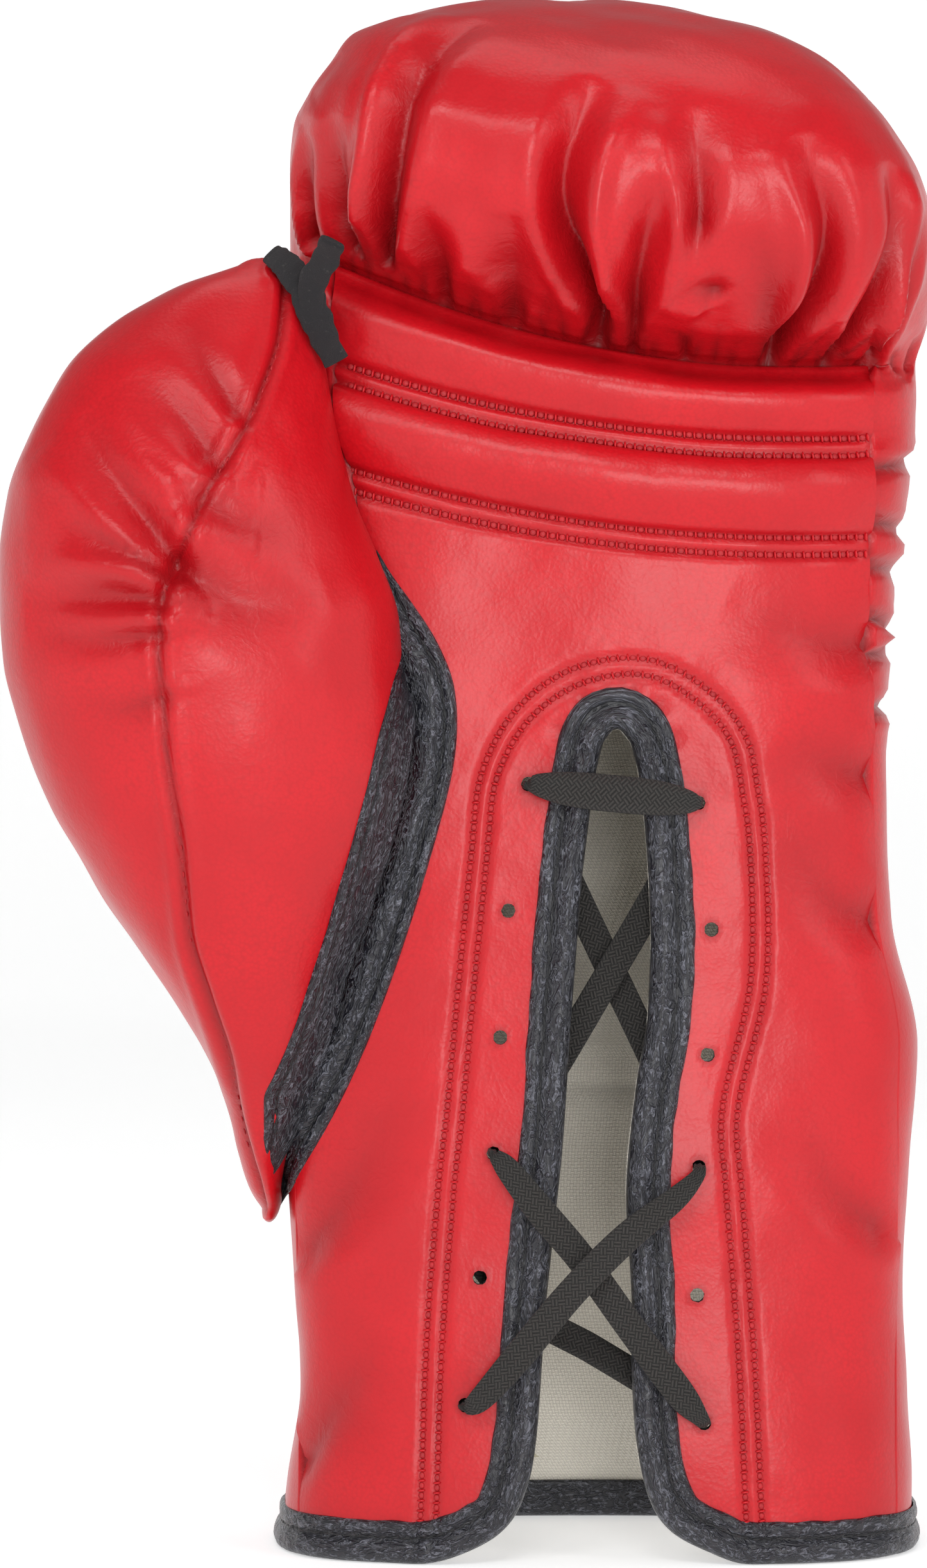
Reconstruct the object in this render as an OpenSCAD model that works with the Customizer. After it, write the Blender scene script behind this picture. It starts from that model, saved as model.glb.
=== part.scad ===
// Lace-up boxing glove, left standing on its cuff with the palm facing -Y and the thumb at -X.

/* [Overall] */
// Width over the thumb
glove_w = 175; // [148:1:210]
// Height from the cuff hem to the top of the fist
glove_h = 293; // [245:1:350]
// Depth from the front of the fist to the knuckles
glove_d = 113; // [95:1:135]

/* [Leather and lining] */
// Thickness of the outer leather
leather_t = 1.2; // [0.8:0.1:1.6]
// Thickness of the cotton lining
lining_t = 0.9; // [0.6:0.1:1.2]
// Thickness of the reinforcement behind the lace holes
facing_t = 1.0; // [0.6:0.1:1.4]
// Gap between neighbouring layers
layer_gap = 0.2; // [0.15:0.05:0.3]
// Depth to which the gathers squeeze the fist foam
gather_depth = 9; // [7:0.5:11]

/* [Binding] */
// Width of the edge binding
binding_w = 7.5; // [6:0.5:9]
// Thickness of the edge binding
binding_t = 0.8; // [0.6:0.1:1]

/* [Lacing] */
// Diameter of the lace holes
hole_d = 2.8; // [2.2:0.1:3.4]
// Width of the flat lace
lace_w = 5.5; // [4.5:0.5:6.6]
// Thickness of the flat lace
lace_t = 1.4; // [1.1:0.1:1.7]
// Diameter of the stitching thread
thread_d = 0.8; // [0.6:0.1:1]

/* [Thumb] */
// Thickness of the thumb foam
thumb_foam_t = 11; // [9:0.5:13]
// Gap between the thumb and the hand
thumb_gap = 1.7; // [1.5:0.1:2.1]
// Width of the tape that ties the thumb to the palm
tape_w = 8; // [6:0.5:10]
// Thickness of that tape
tape_t = 2.4; // [2:0.2:3]

/* [Hidden] */

RED = "crimson";
BLACK = "#26282c";
CREAM = "#ddd6c4";
FOAM = "#c9c2a6";

// The tables below are drawn for a glove of this size and are stretched to the overall sizes.
drawn = [175, 113, 293];
fit = [glove_w / drawn.x, glove_d / drawn.y, glove_h / drawn.z];
// The shift that centres the glove on the frame's origin.
centre = [-1.15 * fit.x, 3 * fit.y, 0];

// Height, left side, right side, front, back, mid depth, and how much the ring rises towards the thumb.
HAND = [
    [0, -35, 85.5, -34, 36, 2, 0], [12, -33.5, 85.5, -34, 36.5, 2, 0],
    [30, -31, 84.5, -33, 37, 2, 0], [50, -32.5, 83.5, -32, 38, 2, 0],
    [75, -34, 85, -31.5, 40, 2, 0], [95, -35.5, 86.5, -31, 42, 2, 0],
    [120, -36.5, 81.5, -31, 45, 1, 0], [150, -36.5, 80.5, -31, 48.5, 0, 0.1],
    [175, -36, 81.5, -31, 51, 0, 0.4], [190, -35.5, 83, -31.5, 52.5, 0, 0.7],
    [200, -35, 84.5, -34.5, 53, 0, 0.72], [209, -34.5, 85.5, -32, 53.3, 0, 0.75],
    [216, -34, 86, -34, 53.5, 0, 0.9], [222, -33, 86, -28, 53.5, 0, 1],
    [229, -33, 87.5, -43, 53, 0, 1], [237, -33, 88.5, -53, 52.5, -1, 0.97],
    [246, -32.5, 88.3, -58, 51, -2, 0.9], [256, -29.5, 86, -59.5, 47.5, -3, 0.8],
    [266, -25.5, 81, -56, 41.5, -5, 0.65], [275, -22, 73.5, -49, 33.5, -7, 0.5],
    [283, -13, 62, -39, 22.5, -8, 0.32], [288.5, -4, 49, -28, 11, -8, 0.18],
    [292, 5, 34, -17, 1, -7, 0.05], [293, 13, 25, -10, -4, -7, 0]
];
// The space for the hand, by the same heights: its own height, left, right, front and back.
CAVITY = [
    [0, 0, -31, 81.5, -30.5, 32], [14, 14, -28, 79, -30, 29.5], [60, 60, -26, 77, -28.5, 28], [100, 100, -28, 78, -28, 27],
    [150, 150, -28, 72, -27.5, 26], [175, 175, -27, 71, -26, 25], [190, 189, -26, 72, -21, 25],
    [209, 206, -24, 72, -18, 24], [222, 216, -22, 71, -16, 22], [246, 230, -18, 66, -14, 19],
    [266, 240, -10, 56, -10, 14], [283, 247, 2, 45, -6, 8], [293, 250, 12, 34, -2, 3]
];
// The edges of the palm panel and of its slit: height and x.
PALM_LEFT = [
    [0, -30.5], [76, -31.5], [84, -31], [98, -25], [117, -18.2], [135, -12.8], [147, -9.9], [155, -9],
    [164, -10], [171, -13], [178, -17], [190, -21], [205, -24], [222, -24]
];
PALM_RIGHT = [[0, 81], [95, 81.5], [120, 77.5], [150, 76.5], [222, 76]];
SLIT_LEFT = [
    [0, -7], [2, 0], [6, 7], [12, 11], [23, 13.5], [50, 15.5], [76, 18.3], [101, 20], [127, 22],
    [139, 23.5], [147, 24.7], [152, 26], [154.5, 28], [222, 28]
];
SLIT_RIGHT = [
    [0, 52], [2, 46], [6, 38.5], [12, 34.4], [23, 32], [50, 31.2], [69, 30.2], [88, 32], [101, 34.2],
    [115, 34.8], [127, 34.4], [139, 33.5], [147, 32.4], [152, 31], [154.5, 29], [222, 29]
];
slit_top = 154.5;
seam_z = 222;
thumb_hole = [76, 168];
palm_squareness = 3.4;
back_squareness = 2.4;

// The double seam round the lace holes: height, left x and right x, and the top of its arch.
FACING = [
    [10, -8, 55.2], [40, -7, 53.8], [69, -4.8, 51.6], [84, -3.1, 50.9], [107, -1, 56.2], [132, 1.5, 56.2],
    [144, 2.7, 54.6], [152, 5.6, 53], [158, 9.5, 49.5], [163, 15, 44], [166.5, 22, 38]
];
facing_top = 168;

// Lace holes: x and height.
HOLES = [
    [12, 144.5], [8.3, 121], [6.8, 97.5], [5.6, 76], [3, 53], [0.3, 29.5],
    [43.6, 141], [46, 117.5], [45.3, 94.3], [43.6, 73.5], [43.3, 49.8], [44.5, 26.3]
];
// The route of the lace, from one hidden tip to the other, with its width as a share of lace_w.
LACE = [
    [-12, -20, 152, 1], [-12, -19.5, 130, 1], [-12, -19.5, 100, 1], [-12, -20.5, 70, 1], [-9, -23, 50, 1],
    [-3, -25.2, 36, 0.9], [0, -25.2, 30.3, 0.4], [0.3, -29, 29.5, 0.4], [0.3, -34.5, 29.5, 0.4],
    [3, -37, 31, 0.8], [10, -38, 39, 1], [20, -38.5, 51, 1], [30, -38, 61, 1], [39, -36.8, 68, 0.8],
    [43, -36, 72, 0.5], [43.6, -34, 73.5, 0.4], [43.6, -27, 73.5, 0.4], [42.8, -24, 76, 0.6],
    [41, -22.7, 81, 1], [36, -22.4, 92, 1], [26, -22.4, 113, 1], [17, -22.6, 132, 1], [13, -23.6, 141, 0.8],
    [12, -25.4, 144, 0.5], [12, -27.5, 144.5, 0.4], [12, -33.4, 144.5, 0.4], [14, -35, 144.3, 0.8],
    [21, -35.4, 143.4, 1.2], [35, -35.4, 142, 1.2], [41.6, -35, 141.2, 0.8], [43.6, -33.4, 141, 0.4],
    [43.6, -26.8, 141, 0.4], [43.4, -24.2, 139.4, 0.4], [40, -23.7, 131.5, 1], [36, -24, 124, 1],
    [26, -24.4, 107, 1], [14, -24.3, 87, 1], [8, -24.5, 79.5, 0.8], [6, -25.6, 76.6, 0.5], [5.6, -28, 76, 0.4],
    [5.6, -33.6, 76, 0.4], [8, -35, 73.6, 0.8], [14, -35.4, 66, 1], [22, -35.4, 56.5, 1], [31, -35.6, 44, 1],
    [40, -36, 32, 1], [43.6, -35.6, 27.6, 0.6], [44.5, -34, 26.3, 0.4], [44.5, -28.4, 26.3, 0.4],
    [43.6, -25.6, 27, 0.6], [40, -24.6, 29.4, 1], [34, -24.4, 33, 1], [24, -24.2, 39, 1], [12, -24, 46, 1],
    [2, -23.4, 58, 1], [-2, -22, 76, 1], [-2, -21.6, 100, 1], [-2, -21.6, 128, 1], [-2, -21.6, 140, 1]
];
tip_l = 14;

// Thumb rings: height, left, right, front and back at the middle of the ring.
THUMB = [
    [62, -38, -36, -8, 4], [68, -40.5, -34, -16, 12], [75, -42.5, -32, -22, 18], [84, -44.5, -29, -28, 20],
    [95, -49.5, -25, -36, 20], [109, -58.5, -21.4, -43, 18], [122, -67, -16.8, -48, 15],
    [132, -72.5, -13.4, -51, 13], [140, -77, -11.2, -53, 11], [150, -81, -10.2, -55, 8],
    [158, -83.5, -10.4, -56, 6], [167, -85.5, -11.6, -57, 4], [176, -86.2, -12.5, -57.5, 2],
    [187, -86.2, -16.5, -57, 0], [198, -84.5, -20.5, -56, -2], [210, -80, -23.5, -52, -4],
    [222, -73.5, -25.8, -47, -8], [231, -64, -28, -41, -13], [237, -53, -30, -36, -18], [240.5, -42, -34, -31, -24]
];
thumb_squareness = 2.3;
// The seam between the two thumb panels: height and x.
THUMB_SEAM = [
    [62, -37.5], [68, -38.5], [80, -41.2], [92, -43], [105, -46.7], [117, -50.2], [135, -51.6], [147, -53.4],
    [158, -54.2], [167, -54.8], [177, -54.3], [183, -52.7], [188, -50.2], [197, -46.6], [206, -41.3],
    [215, -37.2], [228, -33.5], [237, -33], [240.5, -36]
];
thumb_edge = [80, 187];
palm_edge = [96, 166];

hand_rows = [
    0, 2, 6, 12, 23, 36, 50, 63, 76, 88, 101, 115, 127, 139, 147, 152, 154.5, 160, 168, 178, 184, 190, 200,
    209, 216, 222, 229, 237, 246, 256, 266, 275, 283, 288.5, 292, 293
];
palm_cols = [1.01, 1.08, 1.33, 1.66, 2, 3, 4, 4.33, 4.66, 4.92, 4.99];
hand_cols = concat([0, 0.35, 0.7], [1, 1.33, 1.66, 2, 3, 4, 4.33, 4.66, 5], [5.3, 5.65, 6, 6.5], [for (c = [7:11]) c], [11.5]);
front_drop = 18.6;

function column(table, k) = [for (row = table) [row[0], row[k]]];
function at(table, z, k = 1) = lookup(z, column(table, k));
function share(a, b, t) = a + (b - a) * t;
function bow(t, n) = pow(max(0, 1 - pow(abs(t), n)), 1 / n);
function squared(v, n) = sign(v) * pow(abs(v), 2 / n);

// A ring: its left, right, front, back, mid depth, height and rise, all stretched to size and drawn in by d.
function hand_ring(z, d) =
    let (top = max(0, (z - seam_z) / (drawn.z - seam_z)))
    [fit.x * at(HAND, z, 1) + d, fit.x * at(HAND, z, 2) - d, fit.y * at(HAND, z, 3) + d,
     fit.y * at(HAND, z, 4) - d, fit.y * at(HAND, z, 5), fit.z * z - d * top, fit.z * at(HAND, z, 6)];
function cavity_ring(z, d) =
    let (top = max(0, (z - seam_z) / (drawn.z - seam_z)))
    [fit.x * at(CAVITY, z, 2) + d, fit.x * at(CAVITY, z, 3) - d, fit.y * at(CAVITY, z, 4) + d,
     fit.y * at(CAVITY, z, 5) - d, 0, fit.z * at(CAVITY, z, 1) - d * top, fit.z * at(HAND, z, 6) * (1 - top)];

function rise(x) = front_drop * pow((60 - x / fit.x) / 82, 2);
function clamp_x(x, r) = max(r[0] + 0.3, min(r[1] - 0.3, x));
// The x of a column: 0 is the left side, 1 and 5 the palm's edges, 2 and 4 the slit's, 6 the right side.
function column_x(c, z, r) =
    let (pl = clamp_x(fit.x * at(PALM_LEFT, z), r), pr = clamp_x(fit.x * at(PALM_RIGHT, z), r), w = pr - pl,
         sl = max(pl + w * 0.2, min(pr - w * 0.3, fit.x * at(SLIT_LEFT, z))),
         sr = max(sl + w * 0.01, min(pr - w * 0.2, fit.x * at(SLIT_RIGHT, z))))
    c < 1 ? share(r[0], pl, c * c)
    : c > 5 ? share(r[1], pr, (6 - c) * (6 - c))
    : lookup(c, [[1, pl], [2, sl], [3, (sl + sr) / 2], [4, sr], [5, pr]]);
function front_point(x, r) =
    let (t = (2 * x - r[0] - r[1]) / (r[1] - r[0]))
    [x, r[4] - (r[4] - r[2]) * bow(t, palm_squareness), r[5] + r[6] * rise(x)];
function back_point(c, r) =
    let (a = 30 * (c - 6), x = (r[0] + r[1]) / 2 + (r[1] - r[0]) / 2 * squared(cos(a), back_squareness))
    [x, r[4] + (r[3] - r[4]) * squared(sin(a), back_squareness), r[5] + r[6] * rise(x)];
function ring_point(c, z, r) = c <= 6 ? front_point(column_x(c, z, r), r) : back_point(c, r);
function hand_point(c, z, d) = ring_point(c, z, hand_ring(z, d));
function cavity_point(c, z, d) = ring_point(c, z, cavity_ring(z, d));
function palm_point(x, z, d) = front_point(fit.x * x, hand_ring(z, d));

// A closed solid between two sheets of points, over the cells of a grid that keep() accepts.
// ring joins the last column to the first, and cap closes the last row.
module shell(cols, rows, outer, inner, keep = function (c, z) true, ring = false, cap = false) {
    n = len(cols);
    m = len(rows);
    span = ring ? n : n - 1;
    next = function (i) ring ? (i + 1) % n : i + 1;
    mid_col = function (i) (cols[i] + (i + 1 < n ? cols[i + 1] : 12)) / 2;
    has = function (i, j)
        j >= 0 && j < m - 1 && (ring || (i >= 0 && i < n - 1))
        && keep(mid_col((i + n) % n), (rows[j] + rows[j + 1]) / 2);
    id = function (side, i, j) side * n * m + j * n + (ring ? (i + n) % n : i);
    points = [for (side = [0, 1], z = rows, c = cols) side == 0 ? outer(c, z) : inner(c, z)];
    faces = [
        for (i = [0:span - 1], j = [0:m - 2]) if (has(i, j)) each [
            [id(0, i, j), id(0, i, j + 1), id(0, next(i), j + 1)],
            [id(0, i, j), id(0, next(i), j + 1), id(0, next(i), j)],
            [id(1, i, j), id(1, next(i), j + 1), id(1, i, j + 1)],
            [id(1, i, j), id(1, next(i), j), id(1, next(i), j + 1)],
            if (!has(i - 1, j)) each wall(id(0, i, j + 1), id(0, i, j), id(1, i, j), id(1, i, j + 1)),
            if (!has(i + 1, j)) each wall(id(0, next(i), j), id(0, next(i), j + 1), id(1, next(i), j + 1), id(1, next(i), j)),
            if (!has(i, j - 1)) each wall(id(0, i, j), id(0, next(i), j), id(1, next(i), j), id(1, i, j)),
            if (!has(i, j + 1) && !(cap && j == m - 2))
                each wall(id(0, next(i), j + 1), id(0, i, j + 1), id(1, i, j + 1), id(1, next(i), j + 1))
        ],
        if (cap) [for (i = [0:n - 1]) id(0, n - 1 - i, m - 1)],
        if (cap) [for (i = [0:n - 1]) id(1, i, m - 1)]
    ];
    polyhedron(points, faces, convexity = 10);
}
function wall(a, b, c, d) = [[a, b, c], [a, c, d]];

// A closed solid ring by ring along a path: given holds one list of points for each station.
function total(list, i = 0) = i >= len(list) ? [0, 0, 0] : list[i] + total(list, i + 1);
function turn(ring) = total([for (i = [0:len(ring) - 1]) cross(ring[i] - ring[0], ring[(i + 1) % len(ring)] - ring[0])]);
function reversed(list) = [for (k = [len(list) - 1:-1:0]) list[k]];
module sweep(given, loop = false) {
    ahead = total(given[1]) - total(given[0]);
    rings = turn(given[0]) * ahead < 0 ? [for (ring = given) reversed(ring)] : given;
    n = len(rings[0]);
    m = len(rings);
    polyhedron(
        [for (ring = rings) each ring],
        [
            for (j = [0:loop ? m - 1 : m - 2], i = [0:n - 1]) each
                let (a = j * n + i, b = j * n + (i + 1) % n, k = ((j + 1) % m) * n)
                [[a, k + (i + 1) % n, b], [a, k + i, k + (i + 1) % n]],
            if (!loop) [for (i = [0:n - 1]) i],
            if (!loop) [for (i = [0:n - 1]) (m - 1) * n + n - 1 - i]
        ],
        convexity = 10
    );
}
function unit(v) = v / max(norm(v), 1e-6);
function tangent(path, i) = unit(path[min(i + 1, len(path) - 1)] - path[max(i - 1, 0)]);

// A thread or strip: an oval section swept along points, kept flat against the direction "out".
function oval_ring(p, along, out, w, t, sides) =
    let (side = unit(cross(along, out)), up = unit(cross(side, along)))
    [for (k = [0:sides - 1]) p + side * (w / 2 * cos(360 * k / sides)) + up * (t / 2 * sin(360 * k / sides))];
module thread(path, out = [0, -1, 0], w = thread_d, t = thread_d, sides = 4) {
    sweep([for (i = [0:len(path) - 1]) oval_ring(path[i], tangent(path, i), out, w, t, sides)]);
}
// A run of binding: a U in section over the edge of the palm, open towards "into".
function over_palm(q, d) = [q.x, front_point(q.x, hand_ring(q.z / fit.z, d)).y, q.z];
function under_palm(q, d) = [q.x, front_point(q.x, cavity_ring(q.z / fit.z, lining_t + d)).y, q.z];
function binding_ring(p, into, spare = 0) =
    let (g = binding_gap, t = g + binding_t, u = g + spare, v = t + spare, e = p - into * t,
         i = p - into * layer_gap, w = p + into * binding_w)
    [over_palm(w, -t), over_palm(e, -t), under_palm(e, v), under_palm(w, v), under_palm(w, u), under_palm(i, u),
     over_palm(i, -g), over_palm(w, -g)];

// What OpenSCAD cuts as one mesh keeps its facets: a resize to the same size asks for that.
module as_mesh() { resize([0, 0, 0]) children(); }

in_palm = function (c, z) z < seam_z && c > 1 && c < 5;
in_slit = function (c, z) z < slit_top && c > 2 && c < 4;
in_thumb_hole = function (c, z) z > thumb_hole[0] && z < thumb_hole[1] && c < 1;

module hand_solid(d) {
    n = len(hand_cols);
    sweep([for (z = hand_rows) [for (i = [0:n - 1]) hand_point(hand_cols[n - 1 - i], z, d)]]);
}
hem = binding_t + layer_gap;
binding_gap = layer_gap + 0.2;
lined = leather_t + layer_gap;
module lace_holes() {
    for (h = HOLES) translate([fit.x * h.x, fit.y * -20, fit.z * h.y]) rotate([90, 22.5, 0])
        cylinder(d = hole_d, h = fit.y * 22, $fn = 8);
}

// The skins of the hand.
module back_shell() {
    color(RED) shell(
        hand_cols, [for (z = hand_rows) z == 0 ? hem : z == 2 ? 3 : z],
        function (c, z) hand_point(c, z, 0), function (c, z) hand_point(c, z, leather_t),
        function (c, z) !in_palm(c, z) && !in_thumb_hole(c, z), ring = true, cap = true
    );
}
module palm_panel() {
    color(RED) as_mesh() difference() {
        shell(
            palm_cols, [for (z = hand_rows) if (z <= seam_z) z == 0 ? hem : z == 2 ? 3 : z == seam_z ? z - 0.6 : z],
            function (c, z) hand_point(c, z, 0), function (c, z) hand_point(c, z, leather_t),
            function (c, z) !in_slit(c, z)
        );
        lace_holes();
    }
}
module lace_facing() {
    color(CREAM) as_mesh() difference() {
        shell(
            [1.33, 1.66, 2, 3, 4, 4.33, 4.66], [for (z = hand_rows) if (z <= 168) z == 0 ? hem : z == 2 ? 3 : z],
            function (c, z) hand_point(c, z, lined), function (c, z) hand_point(c, z, lined + facing_t),
            function (c, z) !in_slit(c, z)
        );
        lace_holes();
    }
}

// The foam between the leather and the lining.
function gathers(c, z) = c > 0.9 && c < 5.5 ? gather_depth * max(0, 1 - pow(abs(z - seam_z - 9) / 24, 2)) : 0;
module foam(cols, rows, keep, cap = false, ring = false) {
    color(FOAM) shell(
        cols, rows,
        function (c, z) hand_point(c, z, lined + gathers(c, z)), function (c, z) cavity_point(c, z, -layer_gap),
        keep, ring = ring, cap = cap
    );
}
module knuckle_pad() {
    foam(
        hand_cols, [for (z = hand_rows) if (z > 100) z],
        function (c, z) z > seam_z || (!in_palm(c, z) && !in_thumb_hole(c, z)), cap = true, ring = true
    );
}
module wrist_pad() {
    foam(
        hand_cols, [for (z = hand_rows) if (z > 10 && z < 102) z > 100 ? z - 0.8 : z],
        function (c, z) !in_palm(c, z) && !in_thumb_hole(c, z), ring = true
    );
}
bar_cols = [1.08, 1.33, 1.66, 2, 3, 4, 4.33, 4.66, 4.92];
module finger_bar() {
    foam(bar_cols, [209, 216, 220.5], function (c, z) true);
}
module grip_bar() {
    foam(bar_cols, [184, 190, 200, 207], function (c, z) true);
}

// The linings.
module hand_lining(cols, keep, cap = false, ring = false) {
    color(CREAM) as_mesh() difference() {
        shell(
            cols, [for (z = hand_rows) if (cap || z <= seam_z) z == 0 ? hem : z == 2 ? 3 : z == seam_z && !cap ? z - 0.6 : z],
            function (c, z) cavity_point(c, z, 0), function (c, z) cavity_point(c, z, lining_t),
            keep, ring = ring, cap = cap
        );
        lace_holes();
    }
}
module back_lining() {
    hand_lining(hand_cols, function (c, z) !in_palm(c, z) && !in_thumb_hole(c, z), cap = true, ring = true);
}
module palm_lining() {
    hand_lining(palm_cols, function (c, z) !in_slit(c, z));
}

// The bindings of the hand.
function on_palm(c, z) = let (o = hand_point(c, z, 0)) [o.x, 0, o.z];
slit_path = concat(
    [for (z = hand_rows) if (z > 8 && z < slit_top) on_palm(2, z)],
    [for (x = [0.25, 0.75]) on_palm(2 + 2 * x, slit_top)],
    [for (z = reversed(hand_rows)) if (z > 8 && z < slit_top) on_palm(4, z)]
);
function away(path, i) =
    let (a = path[max(i - 1, 0)], b = path[min(i + 1, len(path) - 1)], t = unit(b - a)) [-t.z, 0, t.x];
module slit_binding() {
    color(BLACK) sweep([for (i = [0:len(slit_path) - 1]) binding_ring(slit_path[i], away(slit_path, i))]);
}
hem_cols = concat(
    [4.12, 4.33, 4.66, 4.92, 5], [5.3, 5.65, 6, 6.5], [for (c = [7:11]) c], [11.5, 12, 12.35, 12.7],
    [13, 13.08, 13.33, 13.66, 13.88]
);
module cuff_binding() {
    t = binding_t;
    g = binding_gap;
    color(BLACK) sweep([
        for (c = hem_cols) let (k = c >= 12 ? c - 12 : c, top = binding_w, h = function (z, d) hand_point(k, z, d),
                                q = function (z, d) cavity_point(k, z, d))
        [h(top, -g - t), h(0, -g - t), q(0, lining_t + g + t), q(top, lining_t + g + t),
         q(top, lining_t + g), q(t, lining_t + g), h(t, -g), h(top, -g)]
    ]);
}
palm_side_path = [for (z = reversed(hand_rows)) if (z > palm_edge[0] && z < palm_edge[1]) on_palm(1, z)];
module palm_thumb_binding() {
    color(BLACK) sweep([for (i = [0:len(palm_side_path) - 1]) binding_ring(palm_side_path[i], away(palm_side_path, i), 0.5)]);
}

// The seams of the hand, as runs of thread just above what they sew.
proud = thread_d / 2 + 0.05;
function seam_row(z, ends) = [for (k = [0:14]) palm_point(share(ends[0], ends[1], k / 14), z, -proud - 0.15)];
module grip_stitching() {
    color(RED) for (z = [208.6, 205.5, 190.2, 187]) thread(seam_row(z, [-20, 75]));
}
function facing_run(side, d) = [for (row = FACING) if (row[0] > 9) palm_point(row[side] + (side == 1 ? -d : d), row[0] + d * pow(row[0] / facing_top, 8), -proud)];
module facing_stitching() {
    color(RED) for (d = [0, 3])
        thread(concat(facing_run(1, -d), [palm_point(28, facing_top + 0.6 - d, -proud)], reversed(facing_run(2, -d))));
}
function binding_run(path) =
    [for (i = [0:len(path) - 1]) over_palm(path[i] + away(path, i) * binding_w / 2, -binding_gap - binding_t - proud)];
module binding_stitching() {
    color(BLACK) {
        thread(binding_run(slit_path));
        thread(binding_run(palm_side_path));
        thread([for (c = hem_cols) hand_point(c >= 12 ? c - 12 : c, binding_w * 0.6, -binding_gap - binding_t - proud - 0.1)], out = [0, 0, 1]);
    }
}

// The lace: one flat cord, and a plastic tip on each of its hidden ends.
function lace_at(i) = [fit.x * LACE[i].x, fit.y * LACE[i].y, fit.z * LACE[i].z];
lace_path = [for (i = [0:len(LACE) - 1]) lace_at(i)];
// The flat of the lace is carried along the route without twisting.
function lace_sides(i, last) =
    i >= len(lace_path) ? [] :
    let (t = tangent(lace_path, i), c = cross(t, [0, 1, 0]), s = norm(c) > 0.5 ? unit(c) : unit(last - t * (last * t)),
         kept = s * last < 0 ? -s : s)
    concat([kept], lace_sides(i + 1, kept));
module lace() {
    sides = lace_sides(0, [1, 0, 0]);
    color(BLACK) sweep([for (i = [0:len(lace_path) - 1])
        let (t = tangent(lace_path, i), s = sides[i], u = cross(t, s), w = max(lace_w * LACE[i][3], lace_t))
        [for (k = [0:7]) lace_path[i] + s * (w / 2 * cos(45 * k)) + u * (lace_t / 2 * sin(45 * k))]]);
}
module lace_tips() {
    color(BLACK) for (e = [0, len(LACE) - 1]) translate(lace_path[e] + [0, 0, 0.2]) cylinder(d = 3.2, h = tip_l);
}

// The thumb: rings like those of the hand, and layers that stop short of the hand.
function thumb_ring(z, d) =
    let (k = (z - 151) / 89.5, l = fit.x * at(THUMB, z, 1), r = fit.x * at(THUMB, z, 2), f = fit.y * at(THUMB, z, 3),
         b = fit.y * at(THUMB, z, 4))
    [(l + r) / 2, (f + b) / 2, max(0.6 - d * 0.02, (r - l) / 2 - d), max(0.6 - d * 0.02, (b - f) / 2 - d), fit.z * z - d * k];
thumb_sides = 20;
function thumb_point(a, z, d) =
    let (r = thumb_ring(z, d))
    [r[0] + r[2] * squared(cos(a), thumb_squareness), r[1] + r[3] * squared(sin(a), thumb_squareness), r[4]];
module thumb_solid(d) {
    sweep([for (row = THUMB) [for (i = [0:thumb_sides - 1]) thumb_point(-360 * i / thumb_sides, row[0], d)]]);
}
module thumb_layer(d, e) {
    difference() {
        thumb_solid(d);
        hand_solid(-thumb_gap - e);
    }
}
// The way from the hand into the thumb.
module thumb_way() {
    sweep([for (z = [84, 95, 109, 122, 140, 152, 160, 166])
        let (x = fit.x * (at(PALM_LEFT, z) - 6), l = fit.x * -52, f = fit.y * -36, b = fit.y * -1)
        [[l, f, fit.z * z], [l, b, fit.z * z], [x, b, fit.z * z], [x, f, fit.z * z]]]);
}
// The side of the thumb seam that faces the palm.
module seam_side() {
    sweep([for (row = THUMB_SEAM)
        let (x = fit.x * row[1], z = fit.z * (row[0] < 63 ? 40 : row[0] > 240 ? 260 : row[0]))
        [[x, -90, z], [x, fit.y * -46, z], [fit.x * -37, fit.y * -22, z], [40, fit.y * -22, z], [40, -90, z]]]);
}
module thumb_skin(thick, from, inside) {
    difference() {
        thumb_layer(from, from);
        thumb_layer(from + thick, from + inside);
        thumb_way();
    }
}
module thumb_outer() {
    color(RED) as_mesh() difference() {
        thumb_skin(leather_t, 0, leather_t);
        seam_side();
    }
}
module thumb_inner() {
    color(RED) as_mesh() intersection() {
        thumb_skin(leather_t, 0, leather_t);
        translate([0.15, 0, 0]) seam_side();
    }
}
module thumb_foam() {
    color(FOAM) as_mesh() thumb_skin(thumb_foam_t, lined, 3);
}
module thumb_lining() {
    color(CREAM) as_mesh() difference() {
        thumb_layer(lined + thumb_foam_t + 2 * layer_gap, lined + 3 + layer_gap);
        thumb_layer(lined + thumb_foam_t + 2 * layer_gap + lining_t, lined + 3 + layer_gap + lining_t);
        thumb_way();
        translate([-100, -100, fit.z * 222]) cube([200, 200, 60]);
    }
}
// A point on the front of the thumb: x from its right side, with the way out of the surface there.
function thumb_front(x, z, d) =
    let (r = thumb_ring(z, 0), t = max(-0.98, min(0.98, (x - r[0]) / r[2])), n = thumb_squareness, v = bow(t, n),
         out = unit([sign(t) * pow(abs(t), n - 1) / r[2], -pow(v, n - 1) / r[3], 0]))
    [[r[0] + r[2] * t, r[1] - r[3] * v, r[4]] + out * d, out];
thumb_rows = [80, 88, 96, 104, 112, 122, 132, 140, 148, 156, 164, 172, 180, 187];
function thumb_edge_at(z, d) = thumb_front(fit.x * at(THUMB, z, 2) - 3.4, z, d);
module thumb_binding() {
    color(BLACK) sweep([for (z = thumb_rows) let (e = thumb_edge_at(z, binding_t + layer_gap), side = unit(cross(e[1], [0, 0, 1])))
        [for (k = [0:7]) e[0] + side * (binding_w / 2 * cos(45 * k)) + e[1] * (binding_t * sin(45 * k))]]);
}
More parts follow.
